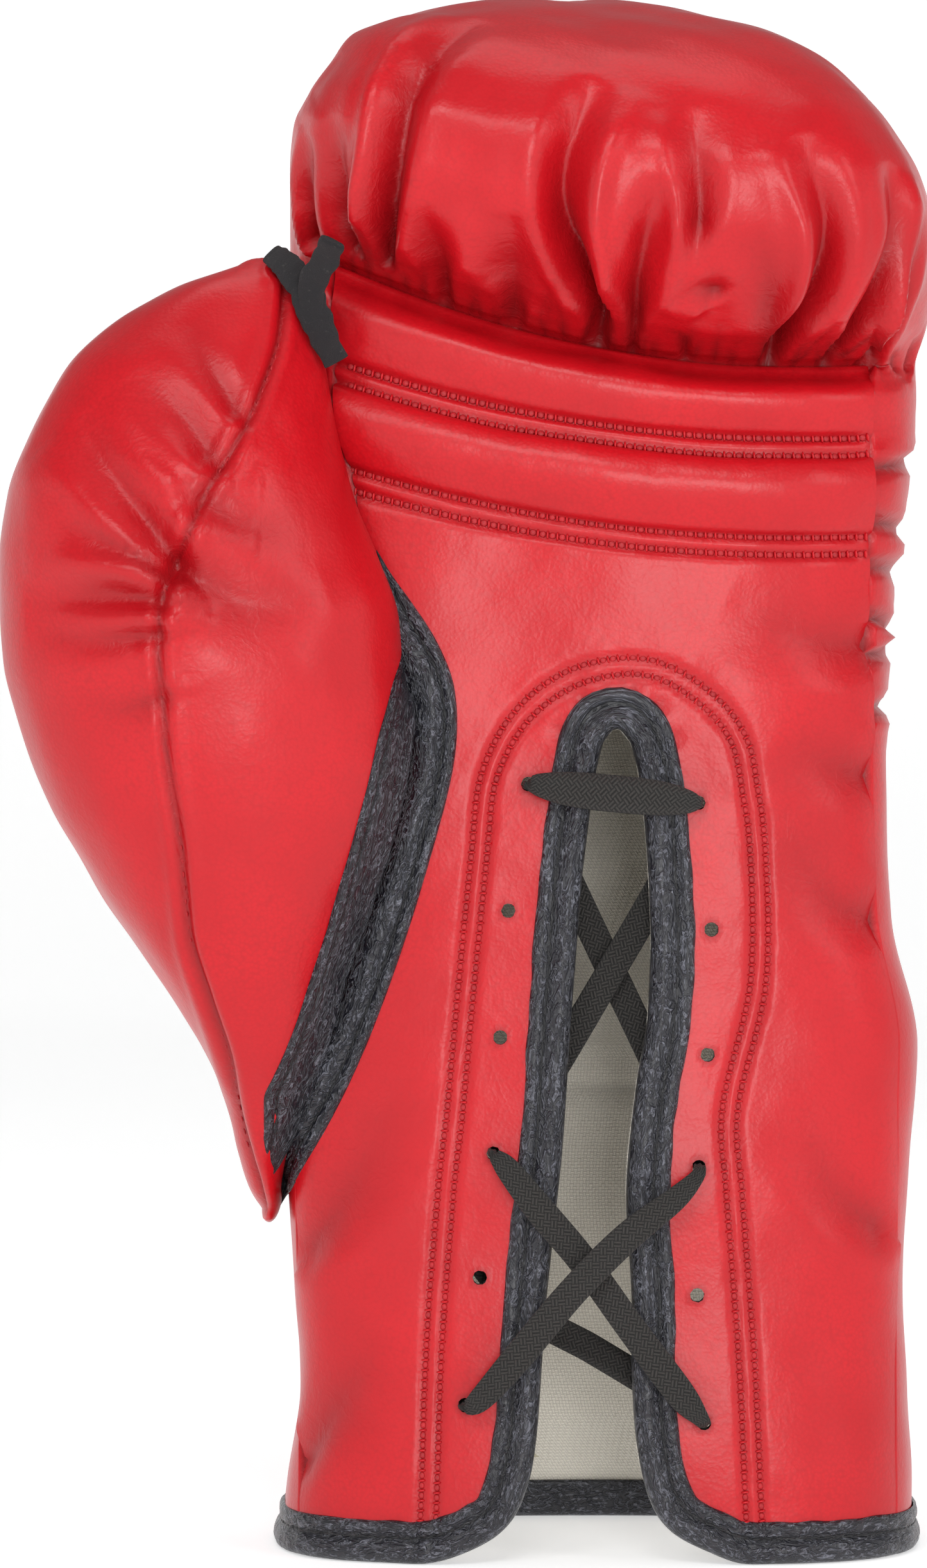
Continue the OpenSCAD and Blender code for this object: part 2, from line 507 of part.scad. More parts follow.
module thumb_seam_stitching() {
    color(RED) {
        for (e = [-1.6, 1.6]) thread([for (row = THUMB) let (z = row[0]) if (z > 66 && z < 232)
            thumb_front(fit.x * (at(THUMB_SEAM, z) + e), z, proud + 0.15)[0]]);
        thread([for (z = thumb_rows) thumb_edge_at(z, 2 * binding_t + layer_gap + proud)[0]]);
    }
}
// The tape between the tip of the thumb and the lip of the palm.
tape_ends = [[-42, -34, 243], [-36, -40, 241], [-30, -43, 237], [-25, -42, 232], [-21, -38, 228]];
module thumb_tape() {
    color(BLACK) thread([for (p = tape_ends) [fit.x * p.x, fit.y * p.y, fit.z * p.z]], [0, -1, 0.3], tape_w, tape_t, 8);
}

translate(centre) back_shell();
translate(centre) palm_panel();
translate(centre) knuckle_pad();
translate(centre) wrist_pad();
translate(centre) finger_bar();
translate(centre) grip_bar();
translate(centre) lace_facing();
translate(centre) back_lining();
translate(centre) palm_lining();
translate(centre) slit_binding();
translate(centre) cuff_binding();
translate(centre) palm_thumb_binding();
translate(centre) grip_stitching();
translate(centre) facing_stitching();
translate(centre) binding_stitching();
translate(centre) lace();
translate(centre) lace_tips();
translate(centre) thumb_outer();
translate(centre) thumb_inner();
translate(centre) thumb_foam();
translate(centre) thumb_lining();
translate(centre) thumb_binding();
translate(centre) thumb_seam_stitching();
translate(centre) thumb_tape();
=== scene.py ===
"""Lace-up boxing glove: the looks, piece by piece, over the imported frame."""

import math

import bmesh
import bpy
import numpy as np
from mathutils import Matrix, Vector


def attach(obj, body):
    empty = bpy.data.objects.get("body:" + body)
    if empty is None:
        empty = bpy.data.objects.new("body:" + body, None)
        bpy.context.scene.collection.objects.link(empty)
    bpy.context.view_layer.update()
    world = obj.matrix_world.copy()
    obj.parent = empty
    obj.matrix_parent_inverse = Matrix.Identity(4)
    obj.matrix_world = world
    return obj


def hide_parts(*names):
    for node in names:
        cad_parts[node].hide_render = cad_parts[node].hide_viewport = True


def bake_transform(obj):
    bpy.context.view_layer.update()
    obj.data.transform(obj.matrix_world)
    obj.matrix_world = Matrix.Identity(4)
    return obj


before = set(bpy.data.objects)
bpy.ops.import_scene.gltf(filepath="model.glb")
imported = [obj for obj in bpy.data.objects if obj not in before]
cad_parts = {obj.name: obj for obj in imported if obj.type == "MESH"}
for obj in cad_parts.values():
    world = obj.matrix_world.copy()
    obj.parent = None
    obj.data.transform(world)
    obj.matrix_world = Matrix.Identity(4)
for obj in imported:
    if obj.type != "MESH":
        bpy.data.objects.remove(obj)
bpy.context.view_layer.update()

bl_info = {
    "name": "Boxing Glove",
    "version": (1, 0, 0),
    "blender": (4, 5, 0),
    "location": "3D View > Sidebar > Boxing Glove",
    "description": "Builds a lace-up boxing glove over its frame, one piece at a time",
    "category": "Object",
}

MM = 0.001
# The tables are in millimetres from the maker's datum; this moves them onto the frame's origin.
DATUM = np.array([-1.15, 3.0, 0.0])

# Height, left side, right side, front, back, mid depth, and how much a ring rises towards the thumb.
HAND = [
    (0, -35, 85.5, -34, 36, 2, 0), (12, -33.5, 85.5, -34, 36.5, 2, 0), (30, -31, 84.5, -33, 37, 2, 0),
    (50, -32.5, 83.5, -32, 38, 2, 0), (75, -34, 85, -31.5, 40, 2, 0), (95, -35.5, 86.5, -31, 42, 2, 0),
    (120, -36.5, 81.5, -31, 45, 1, 0), (150, -36.5, 80.5, -31, 48.5, 0, 0.1),
    (175, -36, 81.5, -31, 51, 0, 0.4), (190, -35.5, 83, -31.5, 52.5, 0, 0.7),
    (200, -35, 84.5, -34.5, 53, 0, 0.72), (209, -34.5, 85.5, -32, 53.3, 0, 0.75),
    (216, -34, 86, -34, 53.5, 0, 0.9), (222, -33, 86, -28, 53.5, 0, 1), (229, -33, 87.5, -43, 53, 0, 1),
    (237, -33, 88.5, -53, 52.5, -1, 0.97), (246, -32.5, 88.3, -58, 51, -2, 0.9),
    (256, -29.5, 86, -59.5, 47.5, -3, 0.8), (266, -25.5, 81, -56, 41.5, -5, 0.65),
    (275, -22, 73.5, -49, 33.5, -7, 0.5), (283, -13, 62, -39, 22.5, -8, 0.32),
    (288.5, -4, 49, -28, 11, -8, 0.18), (292, 5, 34, -17, 1, -7, 0.05), (293, 13, 25, -10, -4, -7, 0),
]
# The space for the hand by the same heights: its own height, left, right, front and back.
CAVITY = [
    (0, 0, -31, 81.5, -30.5, 32), (14, 14, -28, 79, -30, 29.5), (60, 60, -26, 77, -28.5, 28),
    (100, 100, -28, 78, -28, 27), (150, 150, -28, 72, -27.5, 26), (175, 175, -27, 71, -26, 25),
    (190, 189, -26, 72, -21, 25), (209, 206, -24, 72, -18, 24), (222, 216, -22, 71, -16, 22),
    (246, 230, -18, 66, -14, 19), (266, 240, -10, 56, -10, 14), (283, 247, 2, 45, -6, 8),
    (293, 250, 12, 34, -2, 3),
]
PALM_LEFT = [
    (0, -30.5), (76, -31.5), (84, -31), (98, -25), (117, -18.2), (135, -12.8), (147, -9.9), (155, -9),
    (164, -10), (171, -13), (178, -17), (190, -21), (205, -24), (222, -24),
]
PALM_RIGHT = [(0, 81), (95, 81.5), (120, 77.5), (150, 76.5), (222, 76)]
SLIT_LEFT = [
    (0, -7), (2, 0), (6, 7), (12, 11), (23, 13.5), (50, 15.5), (76, 18.3), (101, 20), (127, 22),
    (139, 23.5), (147, 24.7), (152, 26), (154.5, 28), (222, 28),
]
SLIT_RIGHT = [
    (0, 52), (2, 46), (6, 38.5), (12, 34.4), (23, 32), (50, 31.2), (69, 30.2), (88, 32), (101, 34.2),
    (115, 34.8), (127, 34.4), (139, 33.5), (147, 32.4), (152, 31), (154.5, 29), (222, 29),
]
SLIT_TOP, SEAM_Z = 154.5, 222.0
# The double seam round the lace holes: its outer line as points (x, height).
ARCH = [
    (-8.7, 2), (-8, 10), (-7, 40), (-4.8, 69), (-3.1, 84), (-1, 107), (1.5, 132), (2.7, 144), (5.6, 152),
    (9.5, 158), (15, 163), (22, 166.5), (31, 168), (38, 166.5), (44, 163), (49.5, 158), (53, 152),
    (54.6, 144), (56.2, 132), (56.2, 107), (50.9, 84), (51.6, 69), (53.8, 40), (55.2, 10), (55.7, 2),
]
ARCH_GAP = 2.9
GRIP_LINES = (208.6, 205.5, 190.2, 187.0)
HOLES = [
    (12, 144.5), (8.3, 121), (6.8, 97.5), (5.6, 76), (3, 53), (0.3, 29.5),
    (43.6, 141), (46, 117.5), (45.3, 94.3), (43.6, 73.5), (43.3, 49.8), (44.5, 26.3),
]
THUMB = [
    (62, -38, -36, -8, 4), (68, -40.5, -34, -16, 12), (75, -42.5, -32, -22, 18), (84, -44.5, -29, -28, 20),
    (95, -49.5, -25, -36, 20), (109, -58.5, -21.4, -43, 18), (122, -67, -16.8, -48, 15),
    (132, -72.5, -13.4, -51, 13), (140, -77, -11.2, -53, 11), (150, -81, -10.2, -55, 8),
    (158, -83.5, -10.4, -56, 6), (167, -85.5, -11.6, -57, 4), (176, -86.2, -12.5, -57.5, 2),
    (187, -86.2, -16.5, -57, 0), (198, -84.5, -20.5, -56, -2), (210, -80, -23.5, -52, -4),
    (222, -73.5, -25.8, -47, -8), (231, -64, -28, -41, -13), (237, -53, -30, -36, -18),
    (240.5, -42, -34, -31, -24),
]
THUMB_SEAM = [
    (62, -37.5), (68, -38.5), (80, -41.2), (92, -43), (105, -46.7), (117, -50.2), (135, -51.6), (147, -53.4),
    (158, -54.2), (167, -54.8), (177, -54.3), (183, -52.7), (188, -50.2), (197, -46.6), (206, -41.3),
    (215, -37.2), (228, -33.5), (237, -33), (240.5, -36),
]
FRONT_SQUARE, BACK_SQUARE, THUMB_SQUARE = 3.4, 2.4, 2.3


class Table:
    """A smooth curve through rows of (position, values...) that never swings past them."""

    def __init__(self, rows):
        rows = np.array(rows, float)
        self.x, self.v = rows[:, 0], rows[:, 1:]
        step = np.diff(self.x)
        slope = np.diff(self.v, axis=0) / step[:, None]
        m = np.zeros_like(self.v)
        a, b = slope[:-1], slope[1:]
        same = a * b > 0
        m[1:-1] = np.where(same, 2 * a * b / np.where(same, a + b, 1), 0)
        m[0], m[-1] = slope[0], slope[-1]
        self.m = m

    def __call__(self, q):
        q = np.clip(np.asarray(q, float), self.x[0], self.x[-1])
        i = np.clip(np.searchsorted(self.x, q, side="right") - 1, 0, len(self.x) - 2)
        h = self.x[i + 1] - self.x[i]
        t = ((q - self.x[i]) / h)[..., None]
        h = h[..., None]
        v = (
            (2 * t**3 - 3 * t**2 + 1) * self.v[i] + (t**3 - 2 * t**2 + t) * h * self.m[i]
            + (3 * t**2 - 2 * t**3) * self.v[i + 1] + (t**3 - t**2) * h * self.m[i + 1]
        )
        return v if v.shape[-1] > 1 else v[..., 0]


hand_table, cavity_table, thumb_table = Table(HAND), Table(CAVITY), Table(THUMB)
palm_left, palm_right = Table(PALM_LEFT), Table(PALM_RIGHT)
slit_left, slit_right, thumb_seam = Table(SLIT_LEFT), Table(SLIT_RIGHT), Table(THUMB_SEAM)


def bow(t, n):
    return np.maximum(0, 1 - np.abs(t) ** n) ** (1 / n)


def squared(v, n):
    return np.sign(v) * np.abs(v) ** (2 / n)


def rise(x):
    return 18.6 * ((60 - x) / 82) ** 2


def hand_ring(z, d=0.0):
    h = hand_table(z)
    top = np.clip((z - SEAM_Z) / (293 - SEAM_Z), 0, 1)
    return (h[..., 0] + d, h[..., 1] - d, h[..., 2] + d, h[..., 3] - d, h[..., 4], z - d * top, h[..., 5])


def cavity_ring(z, d=0.0):
    h, k = hand_table(z), cavity_table(z)
    top = np.clip((z - SEAM_Z) / (293 - SEAM_Z), 0, 1)
    return (k[..., 1] + d, k[..., 2] - d, k[..., 3] + d, k[..., 4] - d, 0 * z, k[..., 0] - d * top,
            h[..., 5] * (1 - top))


def column_x(c, z, left, right, even):
    """The x of a column: 0 is the left side, 1 and 5 the palm's edges, 2 and 4 the slit's, 6 the right."""
    pl = np.clip(palm_left(z), left + 0.3, right - 0.3)
    pr = np.clip(palm_right(z), left + 0.3, right - 0.3)
    w = pr - pl
    sl = np.clip(slit_left(z), pl + 0.2 * w, pr - 0.3 * w)
    sr = np.clip(slit_right(z), sl + 0.01 * w, pr - 0.2 * w)
    if even:
        sl, sr = pl + 0.25 * w, pl + 0.75 * w
    mid = (sl + sr) / 2
    parts = [
        left + (pl - left) * c**2, pl + (sl - pl) * (c - 1), sl + (mid - sl) * (c - 2),
        mid + (sr - mid) * (c - 3), sr + (pr - sr) * (c - 4), right + (pr - right) * (6 - c) ** 2,
    ]
    return np.select([c < 1, c < 2, c < 3, c < 4, c < 5], parts[:5], parts[5])


def front_point(x, ring):
    left, right, front, _, mid, z, up = ring
    t = np.clip((2 * x - left - right) / (right - left), -1, 1)
    return np.stack([x, mid - (mid - front) * bow(t, FRONT_SQUARE), z + up * rise(x)], -1)


def ring_point(c, ring, z, even=False):
    """The point of a ring at column c, which goes on to 12 round the back."""
    left, right, _, back, mid, height, up = ring
    c = np.mod(c, 12)
    front = front_point(column_x(np.minimum(c, 6), z, left, right, even), ring)
    a = np.radians(30 * (c - 6))
    x = (left + right) / 2 + (right - left) / 2 * squared(np.cos(a), BACK_SQUARE)
    y = mid + (back - mid) * squared(np.abs(np.sin(a)), BACK_SQUARE)
    behind = np.stack([x, y, height + up * rise(x)], -1)
    return np.where((c <= 6)[..., None], front, behind)


def hand_at(c, z, d=0.0, even=False):
    c, z = np.broadcast_arrays(np.asarray(c, float), np.asarray(z, float))
    return ring_point(c, hand_ring(z, d), z, even)


def cavity_at(c, z, d=0.0):
    c, z = np.broadcast_arrays(np.asarray(c, float), np.asarray(z, float))
    return ring_point(c, cavity_ring(z, d), z)


def palm_at(x, z, d=0.0):
    x, z = np.broadcast_arrays(np.asarray(x, float), np.asarray(z, float))
    return front_point(x, hand_ring(z, d))


def under_palm_at(x, z, d=0.0):
    x, z = np.broadcast_arrays(np.asarray(x, float), np.asarray(z, float))
    return front_point(x, cavity_ring(z, d))


def lengths(points):
    """Running length along a list of points."""
    return np.concatenate([[0], np.cumsum(np.linalg.norm(np.diff(points, axis=0), axis=1))])


def resample(points, count=None, step=None):
    points = np.asarray(points, float)
    run = lengths(points)
    count = count or max(2, int(round(run[-1] / step)) + 1)
    at = np.linspace(0, run[-1], count)
    return np.stack([np.interp(at, run, points[:, k]) for k in range(points.shape[1])], -1)


def smooth_path(points, step, closed=False):
    """An even run of points on a smooth curve through the given ones."""
    p = np.asarray(points, float)
    ends = (p[-1:], p[:2]) if closed else (2 * p[:1] - p[1:2], 2 * p[-1:] - p[-2:-1])
    p = np.concatenate([ends[0], p, ends[1]])
    out = []
    for a, b, c, d in zip(p[:-3], p[1:-2], p[2:-1], p[3:]):
        t = np.linspace(0, 1, 16, endpoint=False)[:, None]
        out.append(0.5 * (2 * b + (c - a) * t + (2 * a - 5 * b + 4 * c - d) * t**2
                          + (3 * b - a - 3 * c + d) * t**3))
    out.append(p[-2:-1])
    return resample(np.concatenate(out), step=step)


def unit(v):
    return v / np.maximum(np.linalg.norm(v, axis=-1, keepdims=True), 1e-9)


def grid_normals(grid, closed=False):
    """Outward normals of a grid whose rows go up and whose columns go anticlockwise from above."""
    if closed:
        along = np.roll(grid, -1, 1) - np.roll(grid, 1, 1)
    else:
        along = np.gradient(grid, axis=1)
    return unit(np.cross(along, np.gradient(grid, axis=0)))


class Ripple:
    """A smooth, repeatable unevenness: a few sine waves in seeded directions."""

    def __init__(self, seed, wavelength, waves=7, stretch=(1.0, 1.0, 1.0)):
        rng = np.random.default_rng(seed)
        k = unit(rng.normal(size=(waves, 3))) * np.array(stretch)
        self.k = k * (2 * math.pi / wavelength) * rng.uniform(0.6, 1.6, (waves, 1))
        self.phase = rng.uniform(0, 2 * math.pi, waves)

    def __call__(self, p):
        return np.sin(p @ self.k.T + self.phase).mean(-1) * math.sqrt(2)


class Fold:
    """A crease in leather along a path on its surface: deepest at its start, gone at its end."""

    def __init__(self, path, depth, width, lap=0.45, side=1.0, start=0.0):
        self.path = smooth_path(path, 1.5) if len(path) > 2 else resample(path, step=1.5)
        self.depth, self.width, self.lap, self.side, self.start = depth, width, lap, side, start

    def __call__(self, p, normal):
        low, high = self.path.min(0) - 9 * self.width, self.path.max(0) + 9 * self.width
        near = np.all((p > low) & (p < high), axis=-1)
        out, mark = np.zeros(len(p)), np.zeros(len(p))
        if not near.any():
            return out, mark
        q, n = p[near], normal[near]
        a, b = self.path[:-1], self.path[1:]
        run = lengths(self.path) / lengths(self.path)[-1]
        best = np.full(len(q), 1e9)
        at, offset = np.zeros(len(q)), np.zeros(len(q))
        for i, (s, e) in enumerate(zip(a, b)):
            v = e - s
            t = np.clip((q - s) @ v / (v @ v), 0, 1)
            away = q - s - t[:, None] * v
            d = np.linalg.norm(away, axis=1)
            closer = d < best
            best = np.where(closer, d, best)
            at = np.where(closer, run[i] + t * (run[i + 1] - run[i]), at)
            beside = np.einsum("ij,ij->i", np.cross(n, v[None] / np.linalg.norm(v)), away)
            offset = np.where(closer, beside, offset)
        fade = np.clip(1 - at, 0, 1) ** 0.75
        if self.start:
            fade = np.minimum(fade, np.clip(at / self.start, 0, 1) ** 1.5)
        w = self.width * (0.8 + 0.7 * at)
        u = best / w
        lapped = np.where(offset * self.side > 0, self.lap, self.lap * 0.35)
        valley = np.exp(-(u**1.45))
        shoulder = np.exp(-(((u - 1.9) / 0.9) ** 2)) + 0.45 * np.exp(-(((u - 3.6) / 1.6) ** 2))
        out[near] = self.depth * fade * (lapped * shoulder - valley)
        # the mark is the crease's valley, where shade is painted into the leather's colour
        mark[near] = fade * valley
        return out, mark


def apply_folds(p, normal, folds):
    """Outward move and crease mark of each point, over all folds; the mark is where shade is painted."""
    shape = p.shape[:-1]
    p, normal = p.reshape(-1, 3), normal.reshape(-1, 3)
    move, mark = np.zeros(len(p)), np.zeros(len(p))
    for fold in folds:
        m, k = fold(p, normal)
        move += m
        mark = np.maximum(mark, k)
    return move.reshape(shape), mark.reshape(shape)


# Meshes ---------------------------------------------------------------------------------------------


def mesh_object(name, points, faces, marks=None, uv=None, material=None):
    """A mesh in the frame from points in millimetres. marks are values kept at each point."""
    mesh = bpy.data.meshes.new(name)
    faces = faces if isinstance(faces, list) else faces.tolist()
    mesh.from_pydata(((np.asarray(points) + DATUM) * MM).tolist(), [], faces)
    mesh.polygons.foreach_set("use_smooth", np.ones(len(mesh.polygons), bool))
    for key, values in (marks or {}).items():
        layer = mesh.attributes.new(key, "FLOAT", "POINT")
        layer.data.foreach_set("value", np.asarray(values, np.float32).ravel())
    if uv is not None:
        layer = mesh.uv_layers.new(name="UVMap")
        corners = np.zeros(len(mesh.loops), np.int32)
        mesh.loops.foreach_get("vertex_index", corners)
        layer.data.foreach_set("uv", np.asarray(uv, np.float32)[corners].ravel())
    mesh.update()
    obj = bpy.data.objects.new(name, mesh)
    bpy.context.scene.collection.objects.link(obj)
    if material:
        mesh.materials.append(material)
    return obj


def grid_object(name, grid, material, closed=False, keep=None, marks=None, uv=None, caps=False):
    """A sheet over a grid of points. keep says which cells are there."""
    rows, cols = grid.shape[:2]
    index = np.arange(rows * cols).reshape(rows, cols)
    here = index if closed else index[:, :-1]
    there = np.roll(index, -1, 1) if closed else index[:, 1:]
    quads = np.stack([here[:-1], there[:-1], there[1:], here[1:]], -1)
    quads = quads.reshape(-1, 4) if keep is None else quads[keep]
    used, faces = np.unique(quads, return_inverse=True)
    faces = faces.reshape(-1, 4).tolist()
    if caps:
        faces += [index[0][::-1].tolist(), index[-1].tolist()]
    flat = {k: np.asarray(v).reshape(-1)[used] for k, v in (marks or {}).items()}
    uv = None if uv is None else uv.reshape(-1, 2)[used]
    return mesh_object(name, grid.reshape(-1, 3)[used], faces, flat, uv, material)


def finish_piece(obj, body, slot, *nodes):
    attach(obj, body)
    if nodes:
        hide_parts(*nodes)
    return obj


def rounded(w, t, n=14, square=2.6):
    """A flat oval section, w wide and t thick."""
    a = np.linspace(0, 2 * math.pi, n, endpoint=False)
    return np.stack([w / 2 * squared(np.cos(a), square), t / 2 * squared(np.sin(a), square)], -1)


def stitch_shape():
    """One stitch: a small bean, one long and centred, from a primitive.

    The primitive's faces come in an order that changes from run to run, so they are sorted.
    """
    bpy.ops.object.select_all(action="DESELECT")
    bpy.ops.mesh.primitive_uv_sphere_add(segments=8, ring_count=5, radius=0.5, location=(0, 0, 0))
    obj = bpy.context.object
    v = np.array([x.co for x in obj.data.vertices])
    f = sorted(list(p.vertices) for p in obj.data.polygons)
    bpy.data.objects.remove(obj, do_unlink=True)
    v = v[:, [2, 0, 1]]
    v[:, 2] -= 0.9 * v[:, 0] ** 2 * 0.7
    return v, f


def stitches(name, runs, pitch, size, material, shift=0.0):
    """Rows of single stitches. Each run is (points, normals); size is a stitch's length, width, height."""
    shape, faces = stitch_shape()
    points, polys = [], []
    for path, normals in runs:
        run = lengths(path)
        count = int(run[-1] / pitch)
        at = (np.arange(count) + 0.5 + shift) * run[-1] / count
        centre, before, after, normal = [
            np.stack([np.interp(s, run, a[:, k]) for k in range(3)], -1)
            for a, s in ((path, at), (path, at - 0.3), (path, at + 0.3), (normals, at))]
        ahead, normal = unit(after - before), unit(normal)
        ahead = unit(ahead + 0.12 * unit(np.cross(normal, ahead)))
        side = unit(np.cross(normal, ahead))
        for c, a, s, n in zip(centre, ahead, side, normal):
            polys += [[len(points) * len(shape) + k for k in f] for f in faces]
            points.append(c + shape[:, :1] * size[0] * a + shape[:, 1:2] * size[1] * s
                          + shape[:, 2:] * size[2] * n)
    return poly_object(name, np.concatenate(points), polys, material)


def poly_object(name, points, polys, material):
    mesh = bpy.data.meshes.new(name)
    mesh.from_pydata(((points + DATUM) * MM).tolist(), [], polys)
    mesh.polygons.foreach_set("use_smooth", np.ones(len(mesh.polygons), bool))
    mesh.update()
    obj = bpy.data.objects.new(name, mesh)
    bpy.context.scene.collection.objects.link(obj)
    mesh.materials.append(material)
    return obj


# Finishes -------------------------------------------------------------------------------------------


class Link:
    """A value on its way through a shader; arithmetic on it adds Math nodes."""

    def __init__(self, finish, socket):
        self.finish, self.socket = finish, socket

    def _math(self, operation, *values):
        return self.finish.node("ShaderNodeMath", {"operation": operation}, dict(enumerate(values)))

    def __add__(self, other):
        return self._math("ADD", self, other)

    __radd__ = __add__

    def __mul__(self, other):
        return self._math("MULTIPLY", self, other)

    __rmul__ = __mul__

    def __sub__(self, other):
        return self._math("SUBTRACT", self, other)

    def __rsub__(self, other):
        return self._math("SUBTRACT", other, self)

    def __truediv__(self, other):
        return self._math("DIVIDE", self, other)

    def __pow__(self, other):
        return self._math("POWER", self, other)

    def __abs__(self):
        return self._math("ABSOLUTE", self)

    def sine(self):
        return self._math("SINE", self)

    def least(self, other):
        return self._math("MINIMUM", self, other)

    def most(self, other):
        return self._math("MAXIMUM", self, other)

    def between(self, low, high):
        """0 below low, 1 above high, smooth in between."""
        return self.finish.node("ShaderNodeMapRange", {"interpolation_type": "SMOOTHSTEP"},
                                {"Value": self, "From Min": low, "From Max": high})


class Finish:
    """A material under construction."""

    def __init__(self, name):
        self.material = bpy.data.materials.new(name)
        self.material.use_nodes = True
        self.tree = self.material.node_tree
        self.tree.nodes.clear()

    def node(self, kind, settings=None, inputs=None, out=0):
        made = self.tree.nodes.new(kind)
        for key, value in (settings or {}).items():
            setattr(made, key, value)
        for key, value in (inputs or {}).items():
            if isinstance(value, Link):
                self.tree.links.new(value.socket, made.inputs[key])
            else:
                made.inputs[key].default_value = value
        return Link(self, made.outputs[out]) if made.outputs else None

    def place(self):
        return self.node("ShaderNodeTexCoord", out="Object")

    def surface(self):
        return self.node("ShaderNodeTexCoord", out="UV")

    def mark(self, name):
        return self.node("ShaderNodeAttribute", {"attribute_name": name}, out="Fac")

    def noise(self, at, scale, detail=2.0, rough=0.5, distortion=0.0):
        return self.node("ShaderNodeTexNoise", None, {"Vector": at, "Scale": scale, "Detail": detail,
                                                      "Roughness": rough, "Distortion": distortion})

    def cells(self, at, scale, feature="F1", smooth=0.0):
        inputs = {"Vector": at, "Scale": scale}
        if feature == "SMOOTH_F1":
            inputs["Smoothness"] = smooth
        return self.node("ShaderNodeTexVoronoi", {"feature": feature}, inputs, "Distance")

    def stretched(self, at, scale, turn=(0, 0, 0)):
        return self.node("ShaderNodeMapping", None, {"Vector": at, "Scale": scale, "Rotation": turn})

    def parts(self, at):
        split = self.tree.nodes.new("ShaderNodeSeparateXYZ")
        self.tree.links.new(at.socket, split.inputs[0])
        return [Link(self, o) for o in split.outputs]

    def mix(self, factor, a, b):
        made = self.tree.nodes.new("ShaderNodeMix")
        made.data_type = "RGBA"
        for key, value in ((0, factor), (6, a), (7, b)):
            if isinstance(value, Link):
                self.tree.links.new(value.socket, made.inputs[key])
            else:
                made.inputs[key].default_value = value
        return Link(self, made.outputs[2])

    def bump(self, height, distance, strength=1.0, normal=None):
        inputs = {"Height": height, "Distance": distance, "Strength": strength}
        if normal:
            inputs["Normal"] = normal
        return self.node("ShaderNodeBump", None, inputs)

    def done(self, **inputs):
        named = {key.replace("_", " "): value for key, value in inputs.items()}
        shader = self.node("ShaderNodeBsdfPrincipled", None, named)
        self.node("ShaderNodeOutputMaterial", None, {"Surface": shader})
        return self.material


def rgba(colour, gain=1.0):
    return (*[c * gain for c in colour[:3]], 1.0)


def leather_finish(look):
    """Coated leather: fine pebbled grain, soft creases where it is gathered, a glossy coat, painted shade in
    creases.
    """
    f = Finish("coated_leather")
    at = f.place()
    fold = f.mark("fold")
    warp = f.noise(at, 900, 2)
    pebble = f.cells(at, look.grain_density, "SMOOTH_F1", 0.35)
    fine = f.noise(at, 4200, 2, 0.6)
    soft = f.noise(at, 48, 3, 0.55)
    broad = f.noise(at, 17, 1)
    crinkle = abs(f.noise(at, 210, 4, 0.55, 0.7) - 0.5) * 2
    grain = f.bump(pebble * 0.8 + fine * 0.25 + warp * 0.4, 0.00009, look.grain_strength)
    pulled = f.bump((1 - crinkle) ** 3 * (fold * 0.8 + 0.1), 0.0005, 0.5, grain)
    rolling = f.bump(soft, 0.0012, 0.35, pulled)
    lit = f.mix(soft.between(0.3, 0.7), rgba(look.leather, 0.92), rgba(look.leather, 1.06))
    worn = f.mix((pebble * 0.6 + broad * 0.5).between(0.35, 0.95), lit, rgba(look.leather, 0.86))
    # painted shade: the colour is darkened where the fold mark lies, in creases, seams and grooves, round the
    # lace holes and under the seam's lip
    colour = f.mix((fold * 0.9).least(0.9), worn, rgba(look.leather, 0.36))
    rough = 0.34 + (fine - 0.5) * 0.12 + (soft - 0.5) * 0.12 + fold * 0.14
    return f.done(Base_Color=colour, Roughness=rough, Normal=rolling, Coat_Weight=0.06, Coat_Roughness=0.2,
                  Specular_IOR_Level=0.36)


def binding_finish(look):
    """Thin black coated tape, crinkled across, with grey glints painted on its crinkles and shade painted in
    its groove.
    """
    f = Finish("crinkled_binding")
    at, fold = f.place(), f.mark("fold")
    along = f.stretched(f.surface(), (290, 640, 1))
    fine = f.noise(at, 2600, 3, 0.6)
    veins = 1 - abs(f.noise(along, 1.0, 3, 0.55, 1.1) - 0.5) * 2
    patches = f.noise(at, 130, 2)
    ridge = veins ** 7
    crease = f.bump(ridge + f.noise(at, 420, 3, 0.6) * 0.7, 0.00055, 0.85)
    grain = f.bump(fine, 0.00006, 0.5, crease)
    # painted highlight: grey glints on the crinkles' crests and in small flecks, mixed with random patches
    painted_glint = (ridge * 0.75 + fine * 0.25 + patches * 0.5).between(0.7, 1.3)
    glint_fleck = f.noise(f.stretched(f.surface(), (520, 1500, 1)), 1.0, 2).between(0.6, 0.68)
    painted_glint = (painted_glint + glint_fleck * fine * 1.1).least(1.0)
    colour = f.mix(painted_glint, rgba(look.binding), rgba(look.binding_glint))
    # painted shade: the binding is darkened in its stitched groove, where the fold mark lies
    return f.done(Base_Color=f.mix(fold.least(0.9), colour, rgba(look.binding, 0.3)),
                  Roughness=0.22 + patches * 0.2 + fine * 0.1, Normal=grain, Coat_Weight=0.15,
                  Coat_Roughness=0.25)


